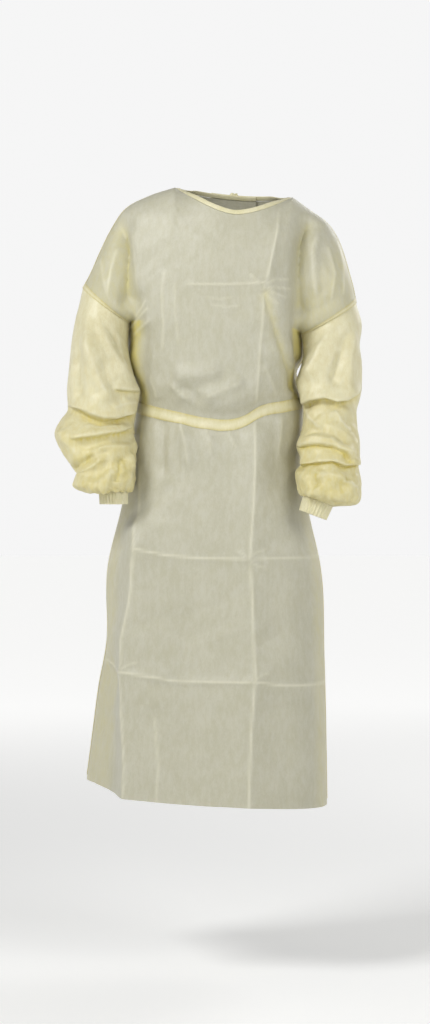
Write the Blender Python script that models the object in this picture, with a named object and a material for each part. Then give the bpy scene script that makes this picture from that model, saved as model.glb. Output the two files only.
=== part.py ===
"""Isolation gown, filled out as it is worn, open at the neck, hem and cuffs.

Metres, +Z up. The front faces -Y and +X is the wearer's left. The origin is where the
gown hangs from the shoulders, at the base of the neck. Every cloth piece is a thin wall
between an outer grid of points and the same points moved in along their normals.
"""
import math

import bmesh
import bpy
import numpy as np

# Cloth and seams
WALL = 0.0012
SEAM = 0.0003
NECK_SEAM = 0.0006
LAP_STEP = 0.0032
FRONT, BACK = -1, 1
RIGHT, LEFT = -1, 1

# Nominal heights; the line tables below say how each edge leaves them
ARMPIT_Z = -0.2596
BELT_Z = -0.4150
HEM_Z = -1.1280
BELT_WIDTH = 0.0210
BELT_THICK = 0.0016
BELT_REACH = 0.13

# Grid: how many cells each stretch of the body has
NECK_CELLS = 10
SHOULDER_CELLS = 8
YOKE_CELLS = 13
LAP_CELLS = 2
SKIRT_ROWS = (-1.128, -1.095, -1.055, -1.010, -0.962, -0.914, -0.868, -0.822, -0.776, -0.730,
              -0.684, -0.640, -0.597, -0.556, -0.518, -0.484, -0.458, -0.438)
WAIST_ROWS = (BELT_Z - BELT_WIDTH / 2, BELT_Z, BELT_Z + BELT_WIDTH / 2)
CHEST_ROWS = (-0.392, -0.376, -0.354, -0.324, -0.292, ARMPIT_Z)

# Body sections, round the wearer's right side, front, left side and back
SECTION_COLUMNS = ("height", "right", "left", "front", "back", "right_y", "left_y")
SECTIONS = (
    (-0.2596, 0.1758, 0.1369, 0.116, 0.106, 0.000, 0.000),
    (-0.2850, 0.1810, 0.1425, 0.117, 0.104, 0.038, 0.036),
    (-0.3200, 0.1820, 0.1420, 0.117, 0.100, 0.044, 0.040),
    (-0.3450, 0.1790, 0.1300, 0.115, 0.096, 0.044, 0.040),
    (-0.3800, 0.1665, 0.1290, 0.109, 0.091, 0.038, 0.032),
    (-0.4045, 0.1635, 0.1385, 0.098, 0.087, 0.028, 0.024),
    (-0.4255, 0.1670, 0.1430, 0.098, 0.088, 0.028, 0.024),
    (-0.4500, 0.1710, 0.1440, 0.105, 0.095, 0.032, 0.030),
    (-0.5200, 0.1750, 0.1400, 0.114, 0.112, 0.028, 0.028),
    (-0.6000, 0.1940, 0.1520, 0.121, 0.126, 0.022, 0.016),
    (-0.7000, 0.2180, 0.1740, 0.127, 0.139, 0.020, 0.004),
    (-0.8600, 0.2230, 0.1810, 0.136, 0.150, 0.035, 0.000),
    (-0.9300, 0.2365, 0.1830, 0.142, 0.156, 0.055, 0.000),
    (-1.0300, 0.2505, 0.1850, 0.148, 0.163, 0.085, 0.000),
    (-1.1280, 0.2644, 0.1865, 0.154, 0.172, 0.125, 0.000),
)
SECTION_POWER = 0.83
YOKE_POWER = 0.77

# Heights of the shaped edges across the gown, from the wearer's right side line to the left
BELT_FRONT = ((-1, -0.401), (-0.55, -0.418), (-0.31, -0.429), (-0.09, -0.441), (0.01, -0.4435),
              (0.11, -0.436), (0.22, -0.421), (0.50, -0.408), (1, -0.3965))
BELT_BACK = ((-1, -0.401), (0, -0.392), (1, -0.3965))
HEM_FRONT = ((-1, -1.107), (-0.85, -1.105), (-0.62, -1.111), (0, -1.126), (0.5, -1.134), (1, -1.138))
HEM_BACK = ((-1, -1.107), (0, -1.124), (1, -1.138))
ARMPIT_HEIGHT = ((-1, -0.2485), (1, -0.2707))

# Neck edge of the panels, below the binding
NECK_U = 0.36
NECK_X = 0.0145
NECK_HALF = 0.1085
NECK_SIDE = {RIGHT: -0.001, LEFT: -0.019}
NECK_DEPTH = {FRONT: 0.094, BACK: 0.072}
NECK_DROP = {FRONT: 0.052, BACK: 0.003}
NECK_LEAN = {FRONT: 41.0, BACK: 50.0}
NECK_LEAN_POWER = 2.2
NECK_ROUND_POWERS = (2.4, 0.8)
NECK_DIP_POWER = 1.7
NECK_PULL_POWER = 1.2
BINDING_TALL = 0.0090
BINDING_THICK = 0.0024

# Shoulder line from the neck out to the top of the armhole: x, z
SHOULDER = {
    RIGHT: ((-0.094, -0.001), (-0.141, -0.016), (-0.187, -0.041), (-0.211, -0.076),
            (-0.233, -0.120), (-0.252, -0.163), (-0.2646, -0.1856)),
    LEFT: ((0.123, -0.019), (0.157, -0.044), (0.187, -0.066), (0.205, -0.092),
           (0.2175, -0.123), (0.2265, -0.154), (0.235, -0.185), (0.2405, -0.2133)),
}
ARMHOLE_DEPTH = 0.066
ARMHOLE_DROOP = 0.010
ARM_FROM_U = 0.42
YOKE_SAMPLES = 81

# Sleeve rings from the armhole to the wrist, then the two ends of the cuff
RING_COLUMNS = ("inner_x", "inner_z", "outer_x", "outer_z", "middle_y", "depth")
SLEEVE_RINGS = {
    RIGHT: (
        (-0.1758, -0.2485, -0.2646, -0.1856, 0.000, 0.066),
        (-0.1805, -0.2859, -0.2762, -0.2416, -0.013, 0.066),
        (-0.1753, -0.3234, -0.2850, -0.2920, -0.027, 0.066),
        (-0.1657, -0.3571, -0.2890, -0.3424, -0.036, 0.064),
        (-0.1582, -0.3796, -0.2904, -0.3759, -0.038, 0.062),
        (-0.1615, -0.4020, -0.2898, -0.4020, -0.044, 0.058),
        (-0.1650, -0.4206, -0.2913, -0.4160, -0.048, 0.057),
        (-0.1675, -0.4392, -0.3036, -0.4328, -0.051, 0.061),
        (-0.1681, -0.4614, -0.3135, -0.4559, -0.059, 0.065),
        (-0.1614, -0.4817, -0.3062, -0.4798, -0.067, 0.062),
        (-0.1621, -0.4964, -0.2912, -0.5037, -0.073, 0.060),
        (-0.1646, -0.5165, -0.2744, -0.5256, -0.081, 0.057),
        (-0.1662, -0.5311, -0.2704, -0.5339, -0.086, 0.057),
        (-0.1669, -0.5493, -0.2772, -0.5512, -0.093, 0.057),
        (-0.1695, -0.5621, -0.2661, -0.5593, -0.098, 0.049),
        (-0.1745, -0.5640, -0.2425, -0.5657, -0.100, 0.037),
    ),
    LEFT: (
        (0.1369, -0.2707, 0.2405, -0.2133, 0.000, 0.066),
        (0.1425, -0.3007, 0.2503, -0.2545, -0.013, 0.066),
        (0.1385, -0.3270, 0.2462, -0.2938, -0.026, 0.066),
        (0.1325, -0.3458, 0.2477, -0.3237, -0.033, 0.065),
        (0.1268, -0.3629, 0.2499, -0.3647, -0.037, 0.063),
        (0.1338, -0.3835, 0.2476, -0.3835, -0.043, 0.060),
        (0.1409, -0.4040, 0.2407, -0.4076, -0.047, 0.057),
        (0.1406, -0.4300, 0.2375, -0.4245, -0.053, 0.057),
        (0.1366, -0.4540, 0.2406, -0.4504, -0.062, 0.060),
        (0.1277, -0.4798, 0.2428, -0.4798, -0.072, 0.062),
        (0.1332, -0.5019, 0.2414, -0.5037, -0.080, 0.060),
        (0.1348, -0.5147, 0.2383, -0.5165, -0.085, 0.058),
        (0.1246, -0.5312, 0.2451, -0.5384, -0.092, 0.061),
        (0.1261, -0.5494, 0.2437, -0.5620, -0.099, 0.060),
        (0.1300, -0.5621, 0.2370, -0.5801, -0.104, 0.054),
        (0.1355, -0.5700, 0.2233, -0.5883, -0.106, 0.041),
    ),
}
CUFF_RINGS = {
    RIGHT: ((-0.1784, -0.5585, -0.2298, -0.5585, -0.100, 0.027),
            (-0.1781, -0.5860, -0.2277, -0.5860, -0.107, 0.027)),
    LEFT: ((0.1403, -0.5675, 0.1926, -0.5874, -0.106, 0.027),
           (0.1318, -0.5964, 0.1796, -0.6144, -0.114, 0.027)),
}
SLEEVE_PLACES = (0, 1, 2, 3, 3.6, 4.2, 4.8, 5.4, 6, 6.5, 7, 7.5, 8, 8.5, 9, 9.5, 10, 10.6, 11.3, 12,
                 12.6, 13.3, 14, 15)
ARMHOLE_SHARE = (1, 0.6, 0.25)
CUFF_SHARES = (0, 0.10, 0.4, 0.7, 1)
CUFF_RIPPLE = 0.0008

# Folds, seen from straight in front of the face they are on: how far the crest stands out
# (or, below zero, how deep the valley is), half its width, and its path in x, z
FOLD_COLUMNS = ("face", "height", "half_width", "path")
FOLD_TAPER = 0.25
FOLD_END_SHARE = 0.35
STEADY_HEIGHT = 0.012
SIDE_FADE = 0.16
TOP_FADE_ROWS = 4
SLEEVE_FADE = 0.45
WRIST_FADE_ROWS = 3
BODY_FOLDS = (
    (FRONT, -0.020, 0.026, ((-0.198, -0.070), (-0.187, -0.139), (-0.177, -0.212))),
    (FRONT, -0.018, 0.024, ((0.148, -0.075), (0.138, -0.130), (0.135, -0.184), (0.135, -0.235))),
    (FRONT, 0.009, 0.022, ((0.074, -0.175), (0.085, -0.263), (0.106, -0.328), (0.120, -0.372))),
    (FRONT, 0.006, 0.020, ((0.097, -0.060), (0.081, -0.134), (0.070, -0.182))),
    (FRONT, 0.010, 0.030, ((0.052, -0.470), (0.046, -0.587), (0.040, -0.686), (0.046, -0.794),
                           (0.048, -0.900), (0.042, -1.002), (0.036, -1.126))),
    (FRONT, 0.018, 0.028, ((-0.152, -0.640), (-0.161, -0.769), (-0.172, -0.832), (-0.178, -0.961),
                           (-0.174, -1.025), (-0.172, -1.120))),
    (FRONT, -0.022, 0.045, ((-0.222, -0.900), (-0.226, -1.000), (-0.232, -1.120))),
    (FRONT, -0.008, 0.035, ((-0.060, -0.700), (-0.070, -0.850), (-0.060, -1.000), (-0.055, -1.120))),
    (FRONT, 0.005, 0.018, ((-0.125, -0.372), (-0.070, -0.392), (-0.010, -0.398), (0.040, -0.388))),
    (BACK, 0.012, 0.032, ((-0.090, -0.560), (-0.105, -0.800), (-0.120, -1.115))),
    (BACK, -0.008, 0.030, ((-0.035, -0.640), (-0.040, -0.850), (-0.045, -1.115))),
    (BACK, 0.012, 0.032, ((0.075, -0.540), (0.085, -0.800), (0.095, -1.120))),
    (BACK, 0.008, 0.020, ((-0.120, -0.372), (-0.030, -0.366), (0.060, -0.366), (0.105, -0.374))),
    (BACK, -0.014, 0.024, ((-0.192, -0.080), (-0.183, -0.150), (-0.172, -0.220))),
    (BACK, -0.014, 0.024, ((0.148, -0.085), (0.140, -0.140), (0.134, -0.225))),
)
SLEEVE_FOLDS = {
    RIGHT: (
        (FRONT, 0.008, 0.020, ((-0.235, -0.260), (-0.248, -0.340), (-0.234, -0.387), (-0.212, -0.416))),
        (FRONT, -0.010, 0.013, ((-0.200, -0.374), (-0.150, -0.380))),
        (FRONT, -0.011, 0.013, ((-0.285, -0.415), (-0.258, -0.419), (-0.232, -0.433), (-0.203, -0.431),
                                (-0.160, -0.422))),
        (FRONT, 0.009, 0.012, ((-0.250, -0.459), (-0.211, -0.453), (-0.182, -0.447), (-0.160, -0.436))),
        (FRONT, -0.011, 0.011, ((-0.280, -0.478), (-0.240, -0.474), (-0.205, -0.468), (-0.165, -0.465))),
        (FRONT, 0.008, 0.011, ((-0.228, -0.483), (-0.185, -0.480), (-0.160, -0.486))),
        (FRONT, -0.010, 0.014, ((-0.282, -0.527), (-0.255, -0.509), (-0.236, -0.497))),
        (FRONT, -0.007, 0.012, ((-0.194, -0.535), (-0.190, -0.508))),
        (BACK, 0.009, 0.022, ((-0.228, -0.250), (-0.240, -0.340), (-0.225, -0.400))),
        (BACK, -0.014, 0.013, ((-0.285, -0.405), (-0.235, -0.424), (-0.160, -0.412))),
        (BACK, 0.009, 0.013, ((-0.270, -0.452), (-0.220, -0.446), (-0.165, -0.440))),
        (BACK, -0.012, 0.012, ((-0.285, -0.492), (-0.230, -0.472), (-0.165, -0.478))),
        (BACK, 0.008, 0.012, ((-0.262, -0.520), (-0.215, -0.506), (-0.170, -0.512))),
    ),
    LEFT: (
        (FRONT, -0.009, 0.018, ((0.226, -0.255), (0.205, -0.330), (0.187, -0.378))),
        (FRONT, 0.008, 0.014, ((0.178, -0.262), (0.160, -0.320), (0.146, -0.362))),
        (FRONT, -0.011, 0.013, ((0.132, -0.412), (0.150, -0.399), (0.178, -0.396), (0.200, -0.404),
                                (0.220, -0.400), (0.246, -0.388))),
        (FRONT, -0.009, 0.014, ((0.142, -0.446), (0.170, -0.453), (0.200, -0.463), (0.222, -0.486))),
        (FRONT, 0.009, 0.013, ((0.130, -0.474), (0.158, -0.472), (0.183, -0.473), (0.207, -0.482),
                               (0.230, -0.512))),
        (FRONT, -0.010, 0.013, ((0.130, -0.514), (0.150, -0.508), (0.175, -0.507), (0.198, -0.502))),
        (FRONT, 0.008, 0.012, ((0.150, -0.532), (0.185, -0.527), (0.215, -0.540))),
        (BACK, 0.009, 0.022, ((0.212, -0.260), (0.205, -0.330), (0.188, -0.385))),
        (BACK, -0.014, 0.013, ((0.132, -0.402), (0.185, -0.408), (0.245, -0.392))),
        (BACK, 0.009, 0.013, ((0.135, -0.440), (0.185, -0.446), (0.236, -0.438))),
        (BACK, -0.012, 0.012, ((0.130, -0.482), (0.180, -0.470), (0.240, -0.490))),
        (BACK, 0.008, 0.012, ((0.135, -0.512), (0.185, -0.506), (0.230, -0.526))),
    ),
}

# Knots at the back: width, height, thickness; and hanging ends, as long as some rows of cells
KNOT_SIZE = {"belt": (0.030, 0.024, 0.016), "neck": (0.018, 0.014, 0.011)}
TAIL_WIDTH = {"belt": 0.0200, "neck": 0.0090}
TAIL_THICK = 0.0016
TAIL_LIFT = 0.0006
TAIL_ROWS = {RIGHT: {"belt": 10, "neck": 5}, LEFT: {"belt": 9, "neck": 4}}

# How far apart two normals may lean (as their cosine) before a shared edge keeps both
LEAN_AGREE = 0.35

# Finish: colour, roughness
BODY_CLOTH = ("#c5c2ae", 0.62)
SLEEVE_CLOTH = ("#d3cb9f", 0.62)
DOUBLED_CLOTH = ("#ddd6a6", 0.60)


def read_curve(rows, at):
    """Smooth curves through a table's rows; the first column is the place along them."""
    table = np.array(sorted(rows), float)
    key, values = table[:, 0], table[:, 1:]
    slopes = np.gradient(values, key, axis=0)
    at = np.clip(np.asarray(at, float), key[0], key[-1])
    cell = np.clip(np.searchsorted(key, at, side="right") - 1, 0, len(key) - 2)
    span = (key[cell + 1] - key[cell])[..., None]
    t = (at - key[cell])[..., None] / span
    return ((2 * t ** 3 - 3 * t ** 2 + 1) * values[cell] + (t ** 3 - 2 * t ** 2 + t) * span * slopes[cell]
            + (3 * t ** 2 - 2 * t ** 3) * values[cell + 1] + (t ** 3 - t ** 2) * span * slopes[cell + 1])


def ease(value):
    value = np.clip(value, 0.0, 1.0)
    return value * value * (3 - 2 * value)


def unit(vectors):
    return vectors / np.maximum(np.linalg.norm(vectors, axis=-1, keepdims=True), 1e-12)


def columns_across():
    """Places across the gown: -1 at the wearer's right side line, +1 at the left."""
    neck = np.linspace(-NECK_U, NECK_U, NECK_CELLS + 1)
    shoulder = np.linspace(NECK_U, 1.0, SHOULDER_CELLS + 1)[1:]
    return np.concatenate((-shoulder[::-1], neck, shoulder))


def row_height(face, u, height):
    """A row's real height: it follows the hem, the belt and the armpit where it is near them."""
    belt = read_curve(BELT_FRONT if face == FRONT else BELT_BACK, u)[..., 0]
    hem = read_curve(HEM_FRONT if face == FRONT else HEM_BACK, u)[..., 0]
    armpit = read_curve(ARMPIT_HEIGHT, u)[..., 0]
    to_hem = np.clip((BELT_Z - height) / (BELT_Z - HEM_Z), 0, 1) ** 2
    to_armpit = np.clip((height - BELT_Z) / (ARMPIT_Z - BELT_Z), 0, 1) ** 2
    near_belt = np.exp(-((height - BELT_Z) / BELT_REACH) ** 2) * (1 - to_hem) * (1 - to_armpit)
    return (height + near_belt * (belt - BELT_Z) + to_hem * (hem - HEM_Z)
            + to_armpit * (armpit - ARMPIT_Z))


def skirt_points(face, u, heights):
    """The body from the hem to the armpits: rounded sections, one row for each height."""
    size = dict(zip(SECTION_COLUMNS[1:], read_curve(SECTIONS, heights).T[..., None]))
    angle = np.abs(u) * math.pi / 2
    side_x = np.where(u < 0, -size["right"], size["left"])
    side_y = np.where(u < 0, size["right_y"], size["left_y"])
    middle_y = face * size["front" if face == FRONT else "back"]
    x = side_x * np.sin(angle) ** SECTION_POWER
    y = side_y + (middle_y - side_y) * np.cos(angle) ** SECTION_POWER
    z = row_height(face, u[None, :], np.asarray(heights)[:, None])
    return np.stack(np.broadcast_arrays(x, y, z), axis=-1)


def top_points(face, u):
    """The panel's top edge: the neck edge in the middle, the shoulder line on each side."""
    q = np.clip(u / NECK_U, -1, 1)
    side_z = (NECK_SIDE[RIGHT] * (1 - q) + NECK_SIDE[LEFT] * (1 + q)) / 2
    round_off = (1 - np.abs(q) ** NECK_ROUND_POWERS[0]) ** NECK_ROUND_POWERS[1]
    top = np.stack((NECK_X + NECK_HALF * q, face * NECK_DEPTH[face] * round_off,
                    side_z - NECK_DROP[face] * (1 - np.abs(q) ** NECK_DIP_POWER)), axis=-1)
    for side in (RIGHT, LEFT):
        line = np.array(SHOULDER[side])
        along = np.concatenate(([0], np.cumsum(np.linalg.norm(np.diff(line, axis=0), axis=1))))
        out = side * u > NECK_U
        share = (side * u[out] - NECK_U) / (1 - NECK_U)
        places = read_curve(np.column_stack((along, line)).tolist(), share * along[-1])
        top[out] = np.stack((places[:, 0], 0 * share, places[:, 1]), axis=-1)
    return top


def arch_points(face, foot, top, depth, droop, turn):
    """Half an armhole or sleeve ring, from its inner side round the face to its outer side."""
    rise = (1 - np.cos(turn)) / 2
    bulge = np.stack((0 * turn, face * depth * np.sin(turn), -droop * np.sin(turn)), axis=-1)
    return foot + (top - foot) * rise[..., None] + bulge


def yoke_points(face, u, foot, cells):
    """The body above the armpits: chest columns that become half armholes at the sides."""
    top = top_points(face, u)
    share = np.linspace(0, 1, YOKE_SAMPLES)[:, None]
    q = np.clip(np.abs(u) / NECK_U, 0, 1)
    lean = np.radians(NECK_LEAN[face] + (90 - NECK_LEAN[face]) * q ** NECK_LEAN_POWER)
    turn = share * lean
    up = np.sin(turn) ** YOKE_POWER / np.sin(lean) ** YOKE_POWER
    over = (1 - np.cos(turn) ** YOKE_POWER) / (1 - np.cos(lean) ** YOKE_POWER)
    chest = foot + (top - foot) * np.stack((up ** NECK_PULL_POWER, over, up), axis=-1)
    arm = arch_points(face, foot, top, ARMHOLE_DEPTH, ARMHOLE_DROOP, share * math.pi + 0 * u)
    to_arm = ease((np.abs(u) - ARM_FROM_U) / (1 - ARM_FROM_U))[None, :, None]
    return even_rows(chest * (1 - to_arm) + arm * to_arm, cells)


def even_rows(dense, cells):
    """Each column cut into equal lengths."""
    steps = np.linalg.norm(np.diff(dense, axis=0), axis=-1)
    along = np.vstack((np.zeros(steps.shape[1]), np.cumsum(steps, axis=0)))
    rows = np.empty((cells + 1, dense.shape[1], 3))
    for column in range(dense.shape[1]):
        wanted = np.linspace(0, along[-1, column], cells + 1)
        for axis in range(3):
            rows[:, column, axis] = np.interp(wanted, along[:, column], dense[:, column, axis])
    return rows


def fold_lift(folds, face, points):
    """How far the folds of one face lift each point of it."""
    lift = np.zeros(points.shape[:-1])
    flat = points[..., [0, 2]]
    for fold in (dict(zip(FOLD_COLUMNS, row)) for row in folds):
        if fold["face"] != face:
            continue
        path = np.array(fold["path"])
        near = np.full(lift.shape, np.inf)
        place = np.zeros(lift.shape)
        for number, (start, end) in enumerate(zip(path[:-1], path[1:])):
            run = end - start
            t = np.clip(((flat - start) @ run) / (run @ run), 0, 1)
            away = np.linalg.norm(flat - start - t[..., None] * run, axis=-1)
            place = np.where(away < near, (number + t) / (len(path) - 1), place)
            near = np.minimum(near, away)
        taper = FOLD_END_SHARE + (1 - FOLD_END_SHARE) * ease(np.minimum(place, 1 - place) / FOLD_TAPER)
        steady = fold["height"] >= STEADY_HEIGHT
        lift += fold["height"] * (1 if steady else taper) * np.exp(-(near / fold["half_width"]) ** 2)
    return lift


def grid_normals(grid, outward, wrap=False):
    """Normals of a grid, pointing to the side that outward names (+1 or -1)."""
    if wrap:
        padded = np.concatenate((grid[:, -1:], grid, grid[:, :1]), axis=1)
        along = (padded[:, 2:] - padded[:, :-2])
    else:
        along = np.gradient(grid, axis=1)
    return unit(np.cross(along, np.gradient(grid, axis=0)) * outward)


def body_grid(face):
    """The outer points of the whole front or back, hem first, and their normals."""
    u = columns_across()
    heights = np.array(SKIRT_ROWS + WAIST_ROWS + CHEST_ROWS)
    skirt = skirt_points(face, u, heights)
    yoke = yoke_points(face, u, skirt[-1], YOKE_CELLS)
    grid = np.concatenate((skirt, yoke[1:]))
    from_side = ease((1 - np.abs(u)) / SIDE_FADE)[None, :]
    from_top = ease(np.arange(len(grid))[::-1, None] / TOP_FADE_ROWS)
    lift = fold_lift(BODY_FOLDS, face, grid) * from_side * from_top
    grid = grid + grid_normals(grid, -face) * lift[..., None]
    return grid, grid_normals(grid, -face)


def around(front_half, back_half):
    """A closed ring from two halves that share their ends."""
    return np.concatenate((front_half, back_half[-2:0:-1]))


def ring(row, turn):
    """One whole sleeve ring: front half from the inner side to the outer, then the back half."""
    size = dict(zip(RING_COLUMNS, row))
    inner = np.array((size["inner_x"], size["middle_y"], size["inner_z"]))
    outer = np.array((size["outer_x"], size["middle_y"], size["outer_z"]))
    return around(*(arch_points(face, inner, outer, size["depth"], 0, turn) for face in (FRONT, BACK)))


def sleeve_grid(side, armhole):
    """The sleeve's outer points from the armhole, which it shares with the body, to the wrist."""
    turn = np.linspace(0, math.pi, YOKE_CELLS + 1)
    table = [(number, *row) for number, row in enumerate(SLEEVE_RINGS[side])]
    rings = np.stack([ring(row, turn) for row in read_curve(table, SLEEVE_PLACES)])
    slip = armhole - rings[0]
    for number, share in enumerate(ARMHOLE_SHARE):
        rings[number] += slip * share
    lift = np.where(np.arange(rings.shape[1]) <= YOKE_CELLS,
                    fold_lift(SLEEVE_FOLDS[side], FRONT, rings), fold_lift(SLEEVE_FOLDS[side], BACK, rings))
    rows = np.arange(len(rings))[:, None]
    from_ends = ease(rows / len(ARMHOLE_SHARE)) * ease((len(rings) - 1 - rows) / WRIST_FADE_ROWS)
    sine = np.sin(turn)
    from_sides = ease(around(sine, sine) / SLEEVE_FADE)
    return rings + grid_normals(rings, -side, wrap=True) * (lift * from_ends * from_sides)[..., None]


def cuff_grid(side):
    """The cuff's outer points, top edge first, rippled by its elastic, and its axis."""
    turn = np.linspace(0, math.pi, YOKE_CELLS + 1)
    top, end = (ring(row, turn) for row in CUFF_RINGS[side])
    rows = np.stack([top + (end - top) * share for share in CUFF_SHARES])
    normals = grid_normals(rows, -side, wrap=True)
    ripple = np.where(np.arange(rows.shape[1]) % 2 == 0, CUFF_RIPPLE, -CUFF_RIPPLE)
    return rows + normals * ripple[None, :, None], normals, unit(end - top)


def pull_back(grid, index, axis, distance):
    """Move one edge of a grid towards its neighbours by a distance along the cloth."""
    grid = np.moveaxis(grid, axis, 0)
    inside = 1 if index == 0 else -2
    grid[index] += unit(grid[inside] - grid[index]) * distance


def material(name, finish):
    """A plain surface of one colour."""
    shader = bpy.data.materials.new(name)
    shader.use_nodes = True
    colour, roughness = finish
    channels = [int(colour[i:i + 2], 16) / 255 for i in (1, 3, 5)]
    linear = [c / 12.92 if c <= 0.04045 else ((c + 0.055) / 1.055) ** 2.4 for c in channels]
    principled = shader.node_tree.nodes["Principled BSDF"]
    principled.inputs["Base Color"].default_value = (*linear, 1)
    principled.inputs["Roughness"].default_value = roughness
    principled.inputs["Metallic"].default_value = 0.0
    shader.diffuse_color = (*linear, 1)
    return shader


def add_object(name, bm, shader):
    """Put a finished mesh in the gown's collection."""
    bmesh.ops.recalc_face_normals(bm, faces=bm.faces)
    mesh = bpy.data.meshes.new(name)
    bm.to_mesh(mesh)
    bm.free()
    mesh.shade_smooth()
    mesh.set_sharp_from_angle(angle=math.radians(50))
    mesh.materials.append(shader)
    piece = bpy.data.objects.new(name, mesh)
    bpy.data.collections["isolation_gown"].objects.link(piece)
    return piece


def add_wall(name, outer, inner, shader, wrap=False):
    """A closed wall between two grids of the same size, with its rims."""
    bm = bmesh.new()
    rows, cols = outer.shape[:2]
    sheets = [[[bm.verts.new(point) for point in row] for row in grid] for grid in (outer, inner)]
    last = cols if wrap else cols - 1
    for sheet in sheets:
        for r in range(rows - 1):
            for c in range(last):
                d = (c + 1) % cols
                bm.faces.new((sheet[r][c], sheet[r][d], sheet[r + 1][d]))
                bm.faces.new((sheet[r][c], sheet[r + 1][d], sheet[r + 1][c]))
    rims = [[(r, c) for c in range(cols)] + ([(r, 0)] if wrap else []) for r in (0, rows - 1)]
    if not wrap:
        rims += [[(r, c) for r in range(rows)] for c in (0, cols - 1)]
    for rim in rims:
        for (r, c), (s, d) in zip(rim[:-1], rim[1:]):
            bm.faces.new((sheets[0][r][c], sheets[0][s][d], sheets[1][s][d], sheets[1][r][c]))
    return add_object(name, bm, shader)


def add_knot(name, kind, centre, shader):
    """A tied knot: a flattened round block."""
    bm = bmesh.new()
    bmesh.ops.create_uvsphere(bm, u_segments=12, v_segments=8, radius=0.5)
    width, tall, thick = KNOT_SIZE[kind]
    bmesh.ops.scale(bm, vec=(width, thick, tall), verts=bm.verts)
    piece = add_object(name, bm, shader)
    piece.location = centre
    return piece


def add_tail(name, edges, normals, width, shader):
    """A hanging end that lies along one column of cells, a hair off it."""
    gap = np.linalg.norm(edges[:, 1] - edges[:, 0], axis=-1)
    shares = np.stack((0.5 - width / gap / 2, 0.5 + width / gap / 2), axis=1)[..., None]
    strip = edges[:, :1] * (1 - shares) + edges[:, 1:] * shares
    pull_back(strip, -1, 0, SEAM)
    lift = unit(normals.sum(axis=1, keepdims=True))
    add_wall(name, strip + lift * (TAIL_LIFT + TAIL_THICK), strip + lift * TAIL_LIFT, shader)


def share_normals(first, second):
    """Two edges that meet lean the same way, unless they meet nearly back to back."""
    both = unit(first + second)
    agree = np.sum(first * second, axis=-1, keepdims=True) > LEAN_AGREE
    return np.where(agree, both, first), np.where(agree, both, second)


def add_sleeve(side, body, normals, cloth, doubled_cloth):
    """One sleeve and its cuff, set into the armhole with an even seam."""
    name = "left" if side == LEFT else "right"
    edge, beside = (-1, -2) if side == LEFT else (0, 1)
    holes = [body[face][-YOKE_CELLS - 1:, edge] for face in (FRONT, BACK)]
    hole_normals = [normals[face][-YOKE_CELLS - 1:, edge] for face in (FRONT, BACK)]
    sleeve = sleeve_grid(side, around(*holes))
    cuff, cuff_normals, cuff_axis = cuff_grid(side)
    sleeve = np.concatenate((sleeve, cuff[1:2] + cuff_normals[1:2] * SEAM))
    sleeve_normals = grid_normals(sleeve, -side, wrap=True)
    sleeve_normals[-1] = cuff_axis

    half = YOKE_CELLS + 1
    down = unit(sleeve[1] - sleeve[0])
    for face, hole, hole_normal in zip((FRONT, BACK), holes, hole_normals):
        places = np.arange(half) if face == FRONT else -np.arange(half)
        inward = unit(body[face][-YOKE_CELLS - 1:, beside] - hole)
        parting = unit(inward - down[places]) * SEAM / 2
        hole_normal[:], sleeve_normals[0, places] = share_normals(hole_normal, sleeve_normals[0, places])
        sleeve[0, places] = hole - parting
        hole += parting
    add_wall("sleeve_" + name, sleeve, sleeve - sleeve_normals * WALL, cloth, wrap=True)
    add_wall("cuff_" + name, cuff, cuff - cuff_normals * WALL, doubled_cloth, wrap=True)


def add_neck_binding(body, normals, tucked, shader):
    """The strip round the neck edge, from the over back, across the front, to the under back."""
    first, last = SHOULDER_CELLS, SHOULDER_CELLS + NECK_CELLS
    middle = (first + last) // 2
    over = slice(middle - LAP_CELLS, last)
    front = slice(last, first - 1, -1)
    under = slice(first + 1, middle + LAP_CELLS + 1)
    edge = np.concatenate((body[BACK][-1, over], body[FRONT][-1, front], tucked[-1, under]))
    lean = np.concatenate((normals[BACK][-1, over], normals[FRONT][-1, front], normals[BACK][-1, under]))
    middle_line = edge - lean * WALL / 2
    rise = unit(np.cross(np.gradient(middle_line, axis=0), lean))
    rows = np.stack([middle_line + rise * (NECK_SEAM + BINDING_TALL * share) for share in (0, 0.5, 1)])
    add_wall("neck_binding", rows + lean * BINDING_THICK / 2, rows - lean * BINDING_THICK / 2, shader)
    knot_place = NECK_CELLS // 2 - (middle - LAP_CELLS - first)
    lift = BINDING_THICK / 2 + SEAM + KNOT_SIZE["neck"][2] / 2
    add_knot("neck_knot", "neck", rows[1, knot_place] + lean[knot_place] * lift, shader)


def add_belt(body, normals, shader):
    """The belt, made from the body's points moved out, and its knot at the middle back."""
    waist = slice(len(SKIRT_ROWS), len(SKIRT_ROWS) + len(WAIST_ROWS))
    loop, lean = (np.concatenate((grid[FRONT][waist], grid[BACK][waist, -2:0:-1]), axis=1)
                  for grid in (body, normals))
    add_wall("belt", loop + lean * (SEAM + BELT_THICK), loop + lean * SEAM, shader, wrap=True)
    middle = body[BACK].shape[1] // 2
    lift = SEAM + BELT_THICK + 2 * SEAM + KNOT_SIZE["belt"][2] / 2
    centre = body[BACK][waist][1, middle] + normals[BACK][waist][1, middle] * lift
    add_knot("belt_knot", "belt", centre, shader)


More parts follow.
